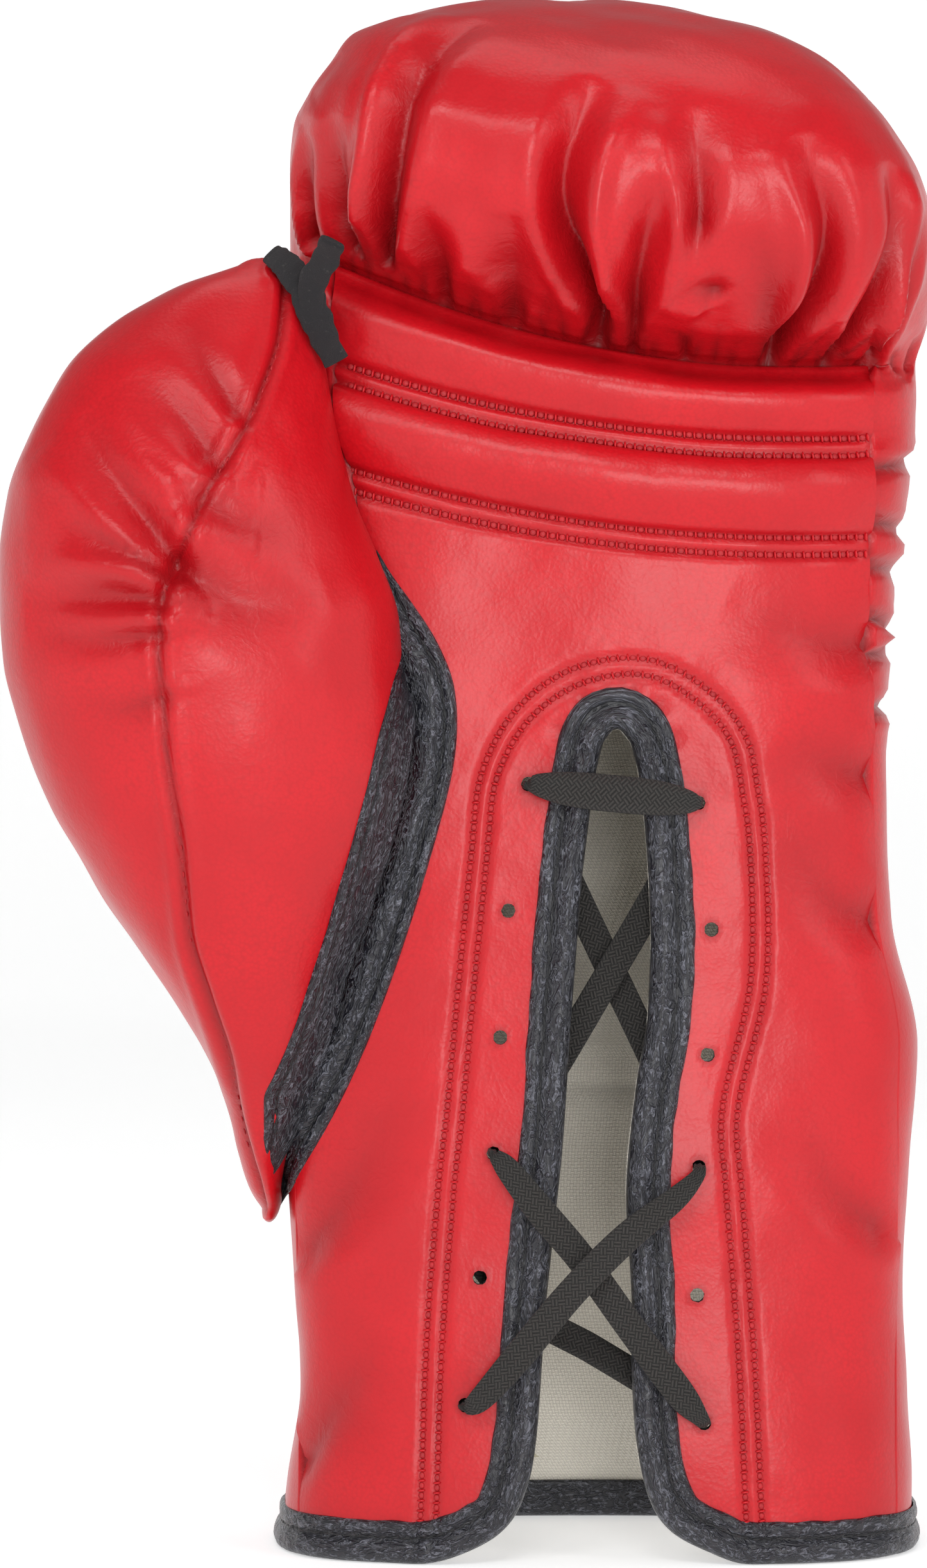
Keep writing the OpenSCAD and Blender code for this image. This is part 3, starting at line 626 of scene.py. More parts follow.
def lace_finish(look):
    """A flat braid of matt strands crossing both ways."""
    f = Finish("flat_braid")
    u, v, _ = f.parts(f.surface())
    turn = math.pi / 0.00092
    one, two = abs(((u + v) * turn).sine()), abs(((u - v) * turn).sine())
    over = (((u + v) * turn / 2).sine() * ((u - v) * turn / 2).sine()).between(-0.1, 0.1)
    height = one * over + two * (1 - over)
    fibre = f.noise(f.place(), 5200, 2, 0.7)
    normal = f.bump(fibre, 0.00012, 0.6, f.bump(height, 0.00035, 0.9))
    # painted shade and highlight: the braid is darker between its strands and lighter on their crowns, with
    # random fibre tone
    tone = (height * 0.7 + fibre * 0.3).between(0.2, 0.9)
    colour = f.mix(tone, rgba(look.lace, 0.35), rgba(look.lace, 2.1))
    return f.done(Base_Color=colour, Roughness=0.72 + fibre * 0.15, Normal=normal, Sheen_Weight=0.05,
                  Sheen_Roughness=0.4)


def lining_finish(look, solid=False):
    """Plain-woven cotton with a soft nap. solid reads the place in space, not the UV map."""
    f = Finish("woven_cloth" if solid else "woven_lining")
    at = f.place()
    u, v, w = f.parts(at if solid else f.surface())
    u, v = (u + v, w) if solid else (u, v)
    warp = f.noise(at, 240, 2) * 0.00035
    turn = math.pi / 0.00062
    a, b = ((u + warp) * turn).sine(), ((v + warp) * turn).sine()
    height = abs(a) * (a * b).between(-0.2, 0.2) + abs(b) * (1 - (a * b).between(-0.2, 0.2))
    nap = f.noise(at, 3600, 3, 0.65)
    soft = f.noise(at, 60, 3)
    rumple = f.bump(soft, 0.0022, 0.5)
    normal = f.bump(nap, 0.0001, 0.5, f.bump(height, 0.0002, 0.8, rumple))
    # painted shade: the weave is darker between its threads; the nap and soft patches add random tone
    tone = (height * 0.5 + nap * 0.3 + soft * 0.2).between(0.15, 0.85)
    # painted shade: the lining is darkened along its crease, where the fold mark lies
    colour = f.mix(f.mark("fold").least(0.8), f.mix(tone, rgba(look.lining, 0.78), rgba(look.lining)),
                   rgba(look.lining, 0.45))
    return f.done(Base_Color=colour, Roughness=0.9, Normal=normal, Sheen_Weight=0.15)


def thread_finish(name, colour, gloss=0.45):
    """Twisted thread: lighter and darker at random along its strands."""
    f = Finish(name)
    at = f.place()
    strand = f.noise(at, 3800, 3, 0.6)
    patch = f.noise(at, 300, 1)
    tone = f.mix((strand * 0.6 + patch * 0.4).between(0.25, 0.75), rgba(colour, 0.62), rgba(colour, 1.25))
    return f.done(Base_Color=tone, Roughness=gloss + strand * 0.25, Normal=f.bump(strand, 0.0001, 0.7))


def tape_finish(look):
    """Napped black tape."""
    f = Finish("napped_tape")
    at = f.place()
    pile = f.noise(at, 3300, 4, 0.75)
    lint = f.noise(at, 1500, 2, 0.6).between(0.62, 0.75)
    colour = f.mix(lint, rgba(look.tape), rgba((0.045, 0.042, 0.04)))
    return f.done(Base_Color=colour, Roughness=0.85 + pile * 0.1, Normal=f.bump(pile, 0.0004, 1.0),
                  Sheen_Weight=0.06, Sheen_Roughness=0.5)


def foam_finish():
    f = Finish("closed_cell_foam")
    at = f.place()
    pores = f.cells(at, 900)
    blotch = f.noise(at, 90, 3)
    tone = (pores * 0.6 + blotch * 0.4).between(0.2, 0.8)
    colour = f.mix(tone, rgba((0.42, 0.38, 0.27)), rgba((0.6, 0.56, 0.43)))
    return f.done(Base_Color=colour, Roughness=0.85 + blotch * 0.1, Normal=f.bump(pores, 0.0002, 0.6))


def board_finish():
    f = Finish("stiff_backing")
    at = f.place()
    weave = f.cells(at, 1300)
    fibre = f.noise(at, 2500, 3, 0.7)
    tone = (weave * 0.5 + fibre * 0.5).between(0.2, 0.8)
    colour = f.mix(tone, rgba((0.02, 0.018, 0.016)), rgba((0.05, 0.045, 0.04)))
    return f.done(Base_Color=colour, Roughness=0.88 + fibre * 0.08, Normal=f.bump(fibre + weave, 0.0002, 0.6))


def tip_finish():
    f = Finish("lace_tip_plastic")
    haze = f.noise(f.place(), 700, 2)
    colour = f.mix(haze.between(0.3, 0.7), rgba((0.02, 0.02, 0.022)), rgba((0.04, 0.04, 0.044)))
    return f.done(Base_Color=colour, Roughness=0.2 + haze * 0.15, Normal=f.bump(haze, 0.0001, 0.3))


FINISHES = {}


def finish_of(name, make, *args):
    if name not in FINISHES:
        FINISHES[name] = make(*args)
    return FINISHES[name]


def leather(look):
    return finish_of("leather", leather_finish, look)


def binding(look):
    return finish_of("binding", binding_finish, look)


def red_thread(look):
    return finish_of("red_thread", thread_finish, "red_thread", look.red_thread)


def black_thread(look):
    return finish_of("black_thread", thread_finish, "black_thread", look.black_thread, 0.5)


# The leather's own surfaces -------------------------------------------------------------------------


def to_row(x, height):
    """The row of the hand's front that passes through this x and height."""
    x, height = np.asarray(x, float), np.asarray(height, float)
    z = height.copy()
    for _ in range(25):
        z = 0.5 * z + 0.5 * (height - hand_table(z)[..., 5] * rise(x))
    return z


def on_front(path):
    """Points of the hand's front through the given (x, height) pairs."""
    p = smooth_path(path, 1.5) if len(path) > 2 else np.asarray(path, float)
    return palm_at(p[:, 0], to_row(p[:, 0], p[:, 1]))


def near_path(x, z, path):
    """Distance in the front's own plane from each (x, z) to a path, and how far along it that is."""
    best, at = np.full(x.shape, 1e9), np.zeros(x.shape)
    run = lengths(path)
    for i, (s, e) in enumerate(zip(path[:-1], path[1:])):
        v = e - s
        t = np.clip(((x - s[0]) * v[0] + (z - s[1]) * v[1]) / (v @ v), 0, 1)
        d = np.hypot(x - s[0] - t * v[0], z - s[1] - t * v[1])
        at = np.where(d < best, run[i] + t * (run[i + 1] - run[i]), at)
        best = np.minimum(best, d)
    return best, at


def arch_line(inset):
    """The seam round the lace holes as (x, row), moved in by inset."""
    p = smooth_path(ARCH, 3.0)
    p = np.stack([p[:, 0], to_row(p[:, 0], p[:, 1])], -1)
    t = unit(np.gradient(p, axis=0))
    return p + np.stack([t[:, 1], -t[:, 0]], -1) * inset


ARCH_LINES = (arch_line(0.0), arch_line(ARCH_GAP))
swell = Ripple(3, 46.0)
dimple = Ripple(5, 17.0)
pucker = Ripple(8, 6.5, stretch=(1, 0.2, 0.3))
crimp = Ripple(9, 4.2, stretch=(1, 0.2, 0.5))

SLIT_PUCKERS = [
    ((24.5, 155), (20.5, 163)), ((27.5, 157.5), (26.5, 165.5)), ((30, 157.5), (32.5, 165)),
    ((32.5, 155), (38, 161)), ((22, 150), (16, 156)), ((34.5, 150), (41, 154)), ((28.8, 158), (29.8, 167)),
]


PALM_ROLLS = [
    ((77, 170), (63, 172), (49, 179)), ((79, 118), (67, 125), (58, 141)), ((78, 62), (69, 70), (62, 86)),
    ((-29, 58), (-20, 72), (-12, 90)), ((-30, 18), (-22, 32), (-14, 44)), ((76, 146), (66, 149), (59, 154)),
]


def palm_folds():
    return [Fold(on_front(p), 0.9, 1.1, 0.4, (-1) ** i) for i, p in enumerate(SLIT_PUCKERS)] + \
        [Fold(on_front(p), 1.5, 4.6, 0.5, (-1) ** i) for i, p in enumerate(PALM_ROLLS)]


PALM_FOLDS = palm_folds()


def palm_skin(x, z):
    """The palm leather at (x, row): its points, outward normals and marks of painted shade in its grooves and
    creases.
    """
    x, z = np.broadcast_arrays(np.asarray(x, float), np.asarray(z, float))
    base = palm_at(x, z)
    e = 0.25
    normal = unit(np.cross(palm_at(x + e, z) - palm_at(x - e, z), palm_at(x, z + e) - palm_at(x, z - e)))
    move = 0.6 * swell(base) + 0.14 * dimple(base)
    mark = np.zeros(x.shape)
    for line in GRIP_LINES:
        gap = np.abs(z - line)
        dip = np.exp(-((gap / 0.85) ** 2))
        move += (-1.15 * dip + 0.16 * pucker(base) * np.exp(-gap / 2.6)) * np.clip((75.6 - x) / 2, 0, 1)
        # painted shade in the grip rows' grooves
        mark = np.maximum(mark, 0.55 * dip)
    bar = np.clip(1 - ((z - 197.8) / 7.4) ** 2, 0, 1)
    top = np.clip(1 - ((z - 214) / 5.6) ** 2, 0, 1)
    move += 1.5 * bar**0.6 + 1.1 * top**0.6 + 0.07 * crimp(base) * (bar + top)
    for path in ARCH_LINES:
        d, _ = near_path(x, z, path)
        dip = np.exp(-((d / 0.75) ** 2))
        move += -0.75 * dip + 0.1 * crimp(base) * np.exp(-d / 2.5)
        # painted shade in the grooves of the seam round the lace holes
        mark = np.maximum(mark, 0.4 * dip)
    fold_move, fold_mark = apply_folds(base, normal, PALM_FOLDS)
    return base + normal * (move + fold_move)[..., None], normal, np.maximum(mark, fold_mark * 0.6)


def facing_out(grid, outward):
    """The grid with its columns in the order that makes its faces look along outward."""
    j, i = grid.shape[0] // 2, grid.shape[1] // 2
    across = grid[j, i + 1] - grid[j, i]
    up = grid[j + 1, i] - grid[j, i]
    return grid if np.cross(across, up) @ outward > 0 else grid[:, ::-1]


def arc_rows(low, high, step, columns, at):
    """Rows spaced by their real distance over a surface; step(z) is the distance wanted at z."""
    z = np.arange(low, high + 1e-9, 0.05)
    gaps = np.max([np.linalg.norm(np.diff(at(np.full(z.shape, c), z), axis=0), axis=1) for c in columns], 0)
    run = np.concatenate([[0], np.cumsum(gaps / step(z[1:]))])
    return np.interp(np.linspace(0, run[-1], int(run[-1]) + 1), run, z)


def close_top(grid, dome=0.4, shares=(0.8, 0.6, 0.4, 0.2, 0.06)):
    """More rows that draw the last one in to its middle."""
    last = grid[-1]
    middle = last.mean(0)
    more = [middle + (last - middle) * s + np.array([0, 0, dome * (1 - s * s)]) for s in shares]
    return np.concatenate([grid, np.array(more)])


# Hand leather ---------------------------------------------------------------------------------------

pleat = Ripple(21, 9.0, 9, (1.0, 0.15, 0.1))
SEAM_FOLDS = [
    (((-14.3, 240.7), (-13.6, 252), (-11.6, 265.3), (-9, 272.8), (-3.8, 280.3), (3, 285)), 6.0, 2.6),
    (((-19.6, 243), (-21.5, 250), (-22.8, 258), (-21, 265)), 4.8, 3.4),
    (((-27.5, 246), (-29, 254), (-28, 264)), 3.0, 2.2), (((-2.8, 231.7), (-4.4, 240), (-7, 250)), 4.8, 2.8),
    (((8.9, 231), (9.2, 238), (8.8, 248)), 3.6, 4.2),
    (((25.2, 226), (24.9, 231), (21, 237.5), (18, 246), (18.2, 255), (20.3, 263), (24, 272)), 9.5, 2.7),
    (((21, 225), (23, 226.5), (24, 229.5)), 3.4, 1.2),
    (((31.4, 223), (31.3, 232), (32.6, 242), (35.8, 254)), 7.5, 2.5),
    (((41.5, 238), (42.7, 250), (41.2, 266)), 3.6, 2.4),
    (((41.8, 221.5), (40.2, 227), (36.8, 230.5)), 3.8, 1.6),
    (((47.5, 233), (42, 236.5)), 2.4, 2.6), (((56, 224), (55.8, 234), (53, 246)), 2.6, 3.2),
    (((56.5, 221.5), (60, 228), (65, 235), (66.8, 243), (65.5, 251), (61, 262)), 8.0, 2.5),
    (((67.5, 222.5), (73.5, 231), (77.7, 238.5), (79.9, 247), (78, 258)), 6.6, 2.3),
    (((73.5, 222), (79.2, 230.2), (82.2, 240.7), (83.7, 250)), 4.4, 1.6),
    (((61, 221.5), (64.5, 226), (68.5, 231)), 3.4, 1.3), (((49.5, 221.5), (51.5, 229)), 3.0, 1.4),
    (((27, 222), (27.8, 229)), 3.0, 1.2), (((14.8, 226), (15.8, 237)), 3.2, 2.2),
    (((2.6, 230), (2, 239)), 2.2, 1.8),
    (((70.5, 224), (76, 229), (79.5, 233)), 2.6, 1.2),
]
SIDE_VALLEYS = (202.5, 193, 185, 176, 168, 158)


def hand_folds():
    folds = [Fold(on_front(p), d * 1.25, w * 0.9, 0.6, (-1) ** i, 0.35 if to_row(*p[0]) > 230 else 0.0)
             for i, (p, d, w) in enumerate(SEAM_FOLDS)]
    rng = np.random.default_rng(14)
    for i, x in enumerate(np.linspace(-22, 84, 30)):
        x = x + rng.uniform(-1.2, 1.2)
        reach, lean = rng.uniform(3, 11), rng.uniform(-0.25, 0.35)
        t = np.linspace(0, 1, 5)
        path = palm_at(x + lean * reach * t, 221.5 + reach * t)
        folds.append(Fold(path, rng.uniform(0.6, 1.7), rng.uniform(0.9, 1.3), 0.6, (-1) ** i))
    for i, z in enumerate(SIDE_VALLEYS):
        c = np.linspace(5.0, 6.2 + rng.uniform(0, 0.7), 8)
        path = hand_at(c, z + (c - 5) * rng.uniform(-3, 3))
        folds.append(Fold(path, 2.8, rng.uniform(1.3, 1.7), 0.35, (-1) ** i))
    return folds


def build_back_leather(look):
    """The fist, sides and back: one leather cushion gathered along the seam under the fingers."""
    def step(z):
        return np.where(z < 214, 1.7, np.where(z < 262, 0.85, 1.25))

    rows = arc_rows(1, 293, step, (3, 6, 9), lambda c, z: hand_at(c, z, even=True))
    parts = ((1, 5, 151), (5, 13, 271))
    grid = np.zeros((len(rows), 0, 3))
    for first, last, count in parts:
        c = np.linspace(first, last, 400)
        dense = hand_at(c[None, :], rows[:, None], even=True)
        grid = np.concatenate([grid, np.array([resample(r, count)[:-1] for r in dense])], 1)
    front = np.arange(grid.shape[1]) < parts[0][2] - 1
    z = rows[:, None]
    normal = grid_normals(grid, closed=True)
    above = np.clip((z - SEAM_Z) / 40, 0, 1)
    ahead = np.clip(-normal[..., 1], 0, 1) * (z > SEAM_Z - 3)
    move = swell(grid) * (0.35 + 0.6 * above) + dimple(grid) * (0.12 + 0.15 * above)
    move += ahead * pleat(grid) * 0.8 * np.exp(-np.clip(z - SEAM_Z, 0, None) / 16)
    fold_move, mark = apply_folds(grid, normal, hand_folds())
    crest = 0.3 + 0.035 * np.clip(z - SEAM_Z, 0, 30) ** 2
    fold_move = np.where(front[None, :], np.minimum(fold_move, crest), fold_move)
    count = np.arange(grid.shape[1])
    last = parts[0][2] - 1
    tuck = np.where(front, np.minimum(count, last - count), 0)
    under = front[None, :] & (z < SEAM_Z - 3)
    free = np.where(front[None, :], np.clip((z - SEAM_Z + 0.6) / 6.5, 0, 1) ** 0.8, 1)
    move = np.where(z > SEAM_Z - 4, move * free, move) + fold_move * np.where(under, 0.5, free)
    move -= front[None, :] * np.clip((SEAM_Z + 1.5 - z) / 3.5, 0, 1.2) * 4.0 * (z > SEAM_Z - 4)
    move -= under * (0.9 + 0.3 * tuck)[None, :]
    # painted shade: the fold marks in the creases' valleys, and the leather tucked in under the seam's lip,
    # are darkened
    mark = np.maximum(mark, front[None, :] * np.clip((SEAM_Z + 2 - z) / 3, 0, 1))
    grid = close_top(grid + normal * move[..., None])
    mark = np.concatenate([mark, np.zeros((5, mark.shape[1]))])
    keep = np.broadcast_to((z[:-1] > SEAM_Z - 3) | (tuck < 4)[None, :], (len(rows) - 1, grid.shape[1]))
    keep = np.concatenate([keep, np.ones((5, grid.shape[1]), bool)])
    obj = grid_object("back_leather", grid, leather(look), closed=True, keep=keep, marks={"fold": mark})
    close_holes(obj, 292)
    finish_piece(obj, "hand", "leather", "back_shell", "knuckle_pad")


def close_holes(obj, above):
    """Caps the small opening at the top of a closed form."""
    mesh = bmesh.new()
    mesh.from_mesh(obj.data)
    rim = [e for e in mesh.edges if e.is_boundary and min(v.co.z for v in e.verts) > above * MM]
    bmesh.ops.holes_fill(mesh, edges=rim, sides=0)
    for face in mesh.faces:
        face.smooth = True
    mesh.to_mesh(obj.data)
    mesh.free()


HOLE_RADIUS = 1.35


# How far round a lace hole the rows of points are drawn aside, and the faces left out in its middle.
HOLE_REACH = 3.2
HOLE_MIDDLE = 1.15


def open_hole(x, z, height, hx, hz):
    """Moves the points round one lace hole out to its rim -> places, the faces to leave out, distances."""
    dx, dz = x - hx, height - hz
    r = np.maximum(np.hypot(dx, dz), 1e-6)
    across, up = [sum(a[j:a.shape[0] - 1 + j, k:a.shape[1] - 1 + k] for j in (0, 1) for k in (0, 1)) / 4
                  for a in (x, height)]
    gone = np.hypot(across - hx, up - hz) < HOLE_MIDDLE
    touched = np.zeros(x.shape, bool)
    for j in (0, 1):
        for k in (0, 1):
            touched[j:x.shape[0] - 1 + j, k:x.shape[1] - 1 + k] |= gone
    wanted = np.sqrt(r**2 + HOLE_RADIUS**2 * np.clip(1 - (r / HOLE_REACH) ** 2, 0, 1))
    wanted = np.where(touched, HOLE_RADIUS, np.maximum(wanted, HOLE_RADIUS + 0.15))
    push = np.where(r < HOLE_REACH, wanted, r) / r - 1
    x, z, height = x + dx * push, z + dz * push, height + dz * push
    return x, z, height, gone, np.maximum(np.hypot(x - hx, height - hz), 1e-6)


def build_palm_leather(look):
    """The palm panel: grip rows, the seam round the lace holes, the holes, and a lip turned in on top."""
    z = np.concatenate([np.arange(1.0, 168, 1.0), np.arange(168, 222.01, 0.62)])
    c = np.concatenate([np.linspace(1, 2, 58), np.linspace(2, 4, 5)[1:-1], np.linspace(4, 5, 62)])
    ring = hand_ring(z[:, None])
    x = column_x(c[None, :], z[:, None], ring[0], ring[1], False)
    x = x - 0.9 * np.clip(c - 1, 0, 1) * (c <= 2) + 0.9 * np.clip(5 - c, 0, 1) * (c >= 4)
    z = np.broadcast_to(z[:, None], x.shape)
    height = z + ring[5] * 0 + ring[6] * rise(x)
    opened = np.zeros((x.shape[0] - 1, x.shape[1] - 1), bool)
    hole_shade = np.zeros(x.shape)
    for hx, hz in HOLES:
        x, z, height, gone, r = open_hole(x, z, height, hx, hz)
        opened |= gone
        # painted shade: the leather is darkened round the rim of each lace hole
        hole_shade = np.maximum(hole_shade, np.clip(1.6 - r / HOLE_RADIUS, 0, 1))
    grid, _, mark = palm_skin(x, z)
    lip = [grid[-1] + np.array([0, 1.6 * k**1.2, 0.5 - 0.35 * (k - 1) ** 2]) for k in (1, 2, 3)]
    grid = np.concatenate([grid, np.array(lip)])
    mark = np.concatenate([np.maximum(mark, hole_shade * 0.8), np.tile(mark[-1:], (3, 1))])
    rows = np.concatenate([(ring[5][:, 0][:-1] + ring[5][:, 0][1:]) / 2, [300] * 3])
    mid = (c[1:] + c[:-1]) / 2
    keep = ~((rows[:, None] < SLIT_TOP + 0.9) & (mid[None, :] > 2) & (mid[None, :] < 4))
    keep &= ~np.concatenate([opened, np.zeros((3, opened.shape[1]), bool)])
    obj = grid_object("palm_leather", grid, leather(look), keep=keep, marks={"fold": mark})
    finish_piece(obj, "hand", "leather", "palm_panel", "finger_bar", "grip_bar")


# Thumb ----------------------------------------------------------------------------------------------

THUMB_FOLDS = [
    (((-51.5, 184), (-58, 193), (-66, 204), (-70, 212)), 4.0, 2.9),
    (((-54.5, 177.5), (-65, 178.5), (-80, 176.5)), 3.6, 2.6),
    (((-53.5, 181), (-61, 187), (-74, 192)), 2.2, 2.2),
    (((-55, 171.5), (-67, 170.5), (-79.4, 172)), 2.0, 2.0), (((-50, 182), (-38, 177), (-25, 180)), 3.0, 5.4),
    (((-47, 196), (-38, 190), (-28, 192)), 1.2, 4.0), (((-45, 203), (-52, 213), (-60, 220)), 1.6, 3.0),
    (((-54, 160), (-63, 158), (-70, 160)), 0.9, 2.2), (((-41, 212), (-47, 222), (-51, 230)), 1.2, 2.2),
]


def thumb_ring_at(a, z):
    """A point of the thumb's plain form at angle a from its right side, anticlockwise from above."""
    left, right, front, back = np.moveaxis(thumb_table(z), -1, 0)
    return np.stack([
        (left + right) / 2 + (right - left) / 2 * squared(np.cos(a), THUMB_SQUARE),
        (front + back) / 2 + (back - front) / 2 * squared(np.sin(a), THUMB_SQUARE), z + 0 * a], -1)


def off_the_hand(p, room):
    """Points moved out of the hand's leather to leave room, over its own surface."""
    x, y, height = np.moveaxis(p, -1, 0)
    left, right, front, back, mid, _, _ = hand_ring(to_row(x, height))
    n = np.where(y < mid, FRONT_SQUARE, BACK_SQUARE)
    half = (right - left) / 2
    deep = np.where(y < mid, mid - front, back - mid)
    u, v = (x - (left + right) / 2) / (half + room), (y - mid) / (deep + room)
    r = (np.abs(u) ** n + np.abs(v) ** n) ** (1 / n)
    out = np.where((r < 1) & (height < 262), 1 / np.maximum(r, 0.2), 1.0)
    return np.stack([(left + right) / 2 + (x - (left + right) / 2) * out, mid + (y - mid) * out, height], -1)


def thumb_on_front(path):
    """Points of the thumb's front through the given (x, height) pairs."""
    p = smooth_path(path, 1.5)
    left, right, front, back = np.moveaxis(thumb_table(p[:, 1]), -1, 0)
    t = np.clip((2 * p[:, 0] - left - right) / (right - left), -1, 1)
    y = (front + back) / 2 - (back - front) / 2 * bow(t, THUMB_SQUARE)
    return np.stack([p[:, 0], y, p[:, 1]], -1)


def thumb_seam_path(shift=0.0):
    z = np.linspace(64, 239, 120)
    return thumb_on_front(np.stack([thumb_seam(z) + shift, z], -1))


def build_thumb_leather(look):
    """The thumb: a stuffed form of two panels with a seam down its front."""
    rows = arc_rows(62, 240.5, lambda z: np.where(z < 90, 1.3, 1.05), (0.0, 1.57, 3.14, 4.71), thumb_ring_at)
    a = np.linspace(0, 2 * math.pi, 500)
    dense = thumb_ring_at(a[None, :], rows[:, None])
    grid = np.array([resample(r, 241)[:-1] for r in dense])
    normal = grid_normals(grid, closed=True)
    seam = thumb_seam_path()
    d, _ = near_path(grid[..., 0], grid[..., 2], seam[:, [0, 2]])
    front = (normal[..., 1] < 0.1).astype(float)
    dip = np.exp(-((d / 0.75) ** 2)) * front
    move = 0.5 * swell(grid) + 0.2 * dimple(grid) - 1.25 * dip
    move += 0.6 * np.exp(-(((d - 2.1) / 1.2) ** 2)) * front + 0.06 * crimp(grid) * np.exp(-d / 3.0) * front
    folds = [Fold(thumb_on_front(p), depth, w, 0.55, (-1) ** i)
             for i, (p, depth, w) in enumerate(THUMB_FOLDS)]
    fold_move, mark = apply_folds(grid, normal, folds)
    grid = grid + normal * (move + fold_move)[..., None]
    grid = close_top(grid, 1.5)
    grid = close_top(grid[::-1], -1.0)[::-1]
    # painted shade: the marks darken the folds' valleys and the seam's dip
    mark = np.pad(np.maximum(mark * 0.6, dip * 0.7), ((5, 5), (0, 0)))
    grid = off_the_hand(grid, 1.3)
    obj = grid_object("thumb_leather", grid, leather(look), closed=True, marks={"fold": mark}, caps=True)
    finish_piece(obj, "thumb", "leather", "thumb_outer", "thumb_inner", "thumb_foam")


# Bindings -------------------------------------------------------------------------------------------

HEM_ROUND = [
    (81, 0), (70, 0), (60, 0), (52, 0), (46, 2), (38.5, 6), (34.4, 12), (32, 23), (31.2, 36), (31.2, 50),
    (30.2, 69), (32, 88), (34.2, 101), (34.8, 115), (34.4, 127), (33.5, 139), (32.4, 147), (31, 152),
    (28.5, 154.5), (26, 152), (24.7, 147), (23.5, 139), (22, 127), (20, 101), (18.3, 76), (15.5, 50),
    (13.5, 23), (11, 12), (7, 6), (0, 2), (-7, 0), (-15, 0), (-23, 0), (-30.5, 0),
]
# A band in section from its free edge round the leather's edge: distance in from the edge, and height.
BAND_OUTSIDE = [
    (8.0, 0.1), (7.85, 0.75), (6.9, 1.1), (5.6, 0.95), (4.95, 0.35), (4.3, 0.95), (3.3, 1.55), (2.0, 1.65),
    (0.9, 1.25), (0.25, 0.5),
]
BAND_TURN = (0.2, 0.5, 0.8)
BAND_INSIDE = [(0.4, 0.7), (1.6, 1.1), (4.0, 1.0), (6.6, 0.9), (7.4, 0.6), (7.5, 0.05)]
crinkle_across = Ripple(31, 3.2, 9)
crinkle_fine = Ripple(33, 1.9, 9)
edge_wobble = Ripple(35, 9.0)


def band_uv(grid):
    """How far along and how far across its band each point is, in metres."""
    along = lengths(grid[len(grid) // 2])
    across = lengths(grid[:, grid.shape[1] // 2])
    return np.stack(np.meshgrid(along, across), -1) * MM


def crinkled(grid, normal, height):
    """Moves a band's points as thin coated tape crinkles."""
    amount = 0.24 * crinkle_across(grid) + 0.1 * crinkle_fine(grid)
    return grid + normal * (amount * height)[..., None]


def build_hand_bindings(look):
    """One band round the lacing slit and the cuff, folded over the leather's edge."""
    p = smooth_path(HEM_ROUND, 1.15)
    t = unit(np.gradient(p, axis=0))
    into = np.stack([t[:, 1], -t[:, 0]], -1)
    c = np.linspace(13, 5, 300)[1:-1]
    c = np.interp(np.linspace(0, 1, 250), lengths(hand_at(c, 4.0)) / lengths(hand_at(c, 4.0))[-1], c)
    zero = np.zeros(c.shape)

    def outside(depth, up):
        depth_front = depth + 0.3 * edge_wobble(np.stack([p[:, 0], p[:, 1], zero_front], -1)) * (depth > 5)
        x, z = p[:, 0] + into[:, 0] * depth_front, p[:, 1] + into[:, 1] * depth_front
        skin, n, _ = palm_skin(x, np.maximum(z, 0.0))
        back = hand_at(c, zero + max(depth, 0.05))
        out = unit(hand_at(c, zero + 5, -1) - hand_at(c, zero + 5))
        return np.concatenate([skin + n * up, back + out * up]), np.concatenate([n, out])

    def inside(depth, up):
        x, z = p[:, 0] + into[:, 0] * depth, p[:, 1] + into[:, 1] * depth
        skin = under_palm_at(x, np.maximum(z, 0.0), 0.9 + up)
        n = np.broadcast_to([0.0, 1.0, 0.0], skin.shape)
        out = unit(cavity_at(c, zero + 5, 1) - cavity_at(c, zero + 5))
        inner = cavity_at(c, zero + max(depth, 0.05), 0.9 + up)
        return np.concatenate([skin, inner]), np.concatenate([n, out])

    zero_front = np.zeros(len(p))
    rows, normals, heights, marks = [], [], [], []
    for depth, up in BAND_OUTSIDE:
        points, n = outside(depth, up)
        rows.append(points), normals.append(n), heights.append(min(1, up + 0.2))
        # painted shade: the band's stitched groove is marked to be darkened
        marks.append(0.9 if up == 0.35 else 0.0)
    edge_out, n_out = outside(0.0, 0.2)
    edge_in, n_in = inside(0.0, 0.4)
    for share in BAND_TURN:
        rows.append(edge_out + (edge_in - edge_out) * share)
        normals.append(unit(n_out * (1 - share) + n_in * share + 1e-6))
        heights.append(0.4)
        marks.append(0.0)
    for depth, up in BAND_INSIDE:
        points, n = inside(depth, up)
        rows.append(points), normals.append(n), heights.append(min(0.6, up)), marks.append(0.0)
    grid, normal = np.array(rows), np.array(normals)
    grid = crinkled(grid, normal, np.array(heights)[:, None])
    grid[..., 2] = np.maximum(grid[..., 2], 0.0)
    mark = np.broadcast_to(np.array(marks)[:, None], grid.shape[:2])
    flipped = facing_out(grid, normal[len(rows) // 4, grid.shape[1] // 2])
    if flipped is not grid:
        mark = mark[:, ::-1]
    obj = grid_object("hand_binding", flipped, binding(look), closed=True, marks={"fold": mark},
                      uv=band_uv(flipped))
    smoothed(obj)
    finish_piece(obj, "hand", "binding", "slit_binding", "cuff_binding")


def smoothed(obj):
    """One level of subdivision, applied."""
    bpy.ops.object.select_all(action="DESELECT")
    bpy.context.view_layer.objects.active = obj
    obj.select_set(True)
    layer = obj.modifiers.new("smooth", "SUBSURF")
    layer.levels = layer.render_levels = 1
    bpy.ops.object.modifier_apply(modifier=layer.name)


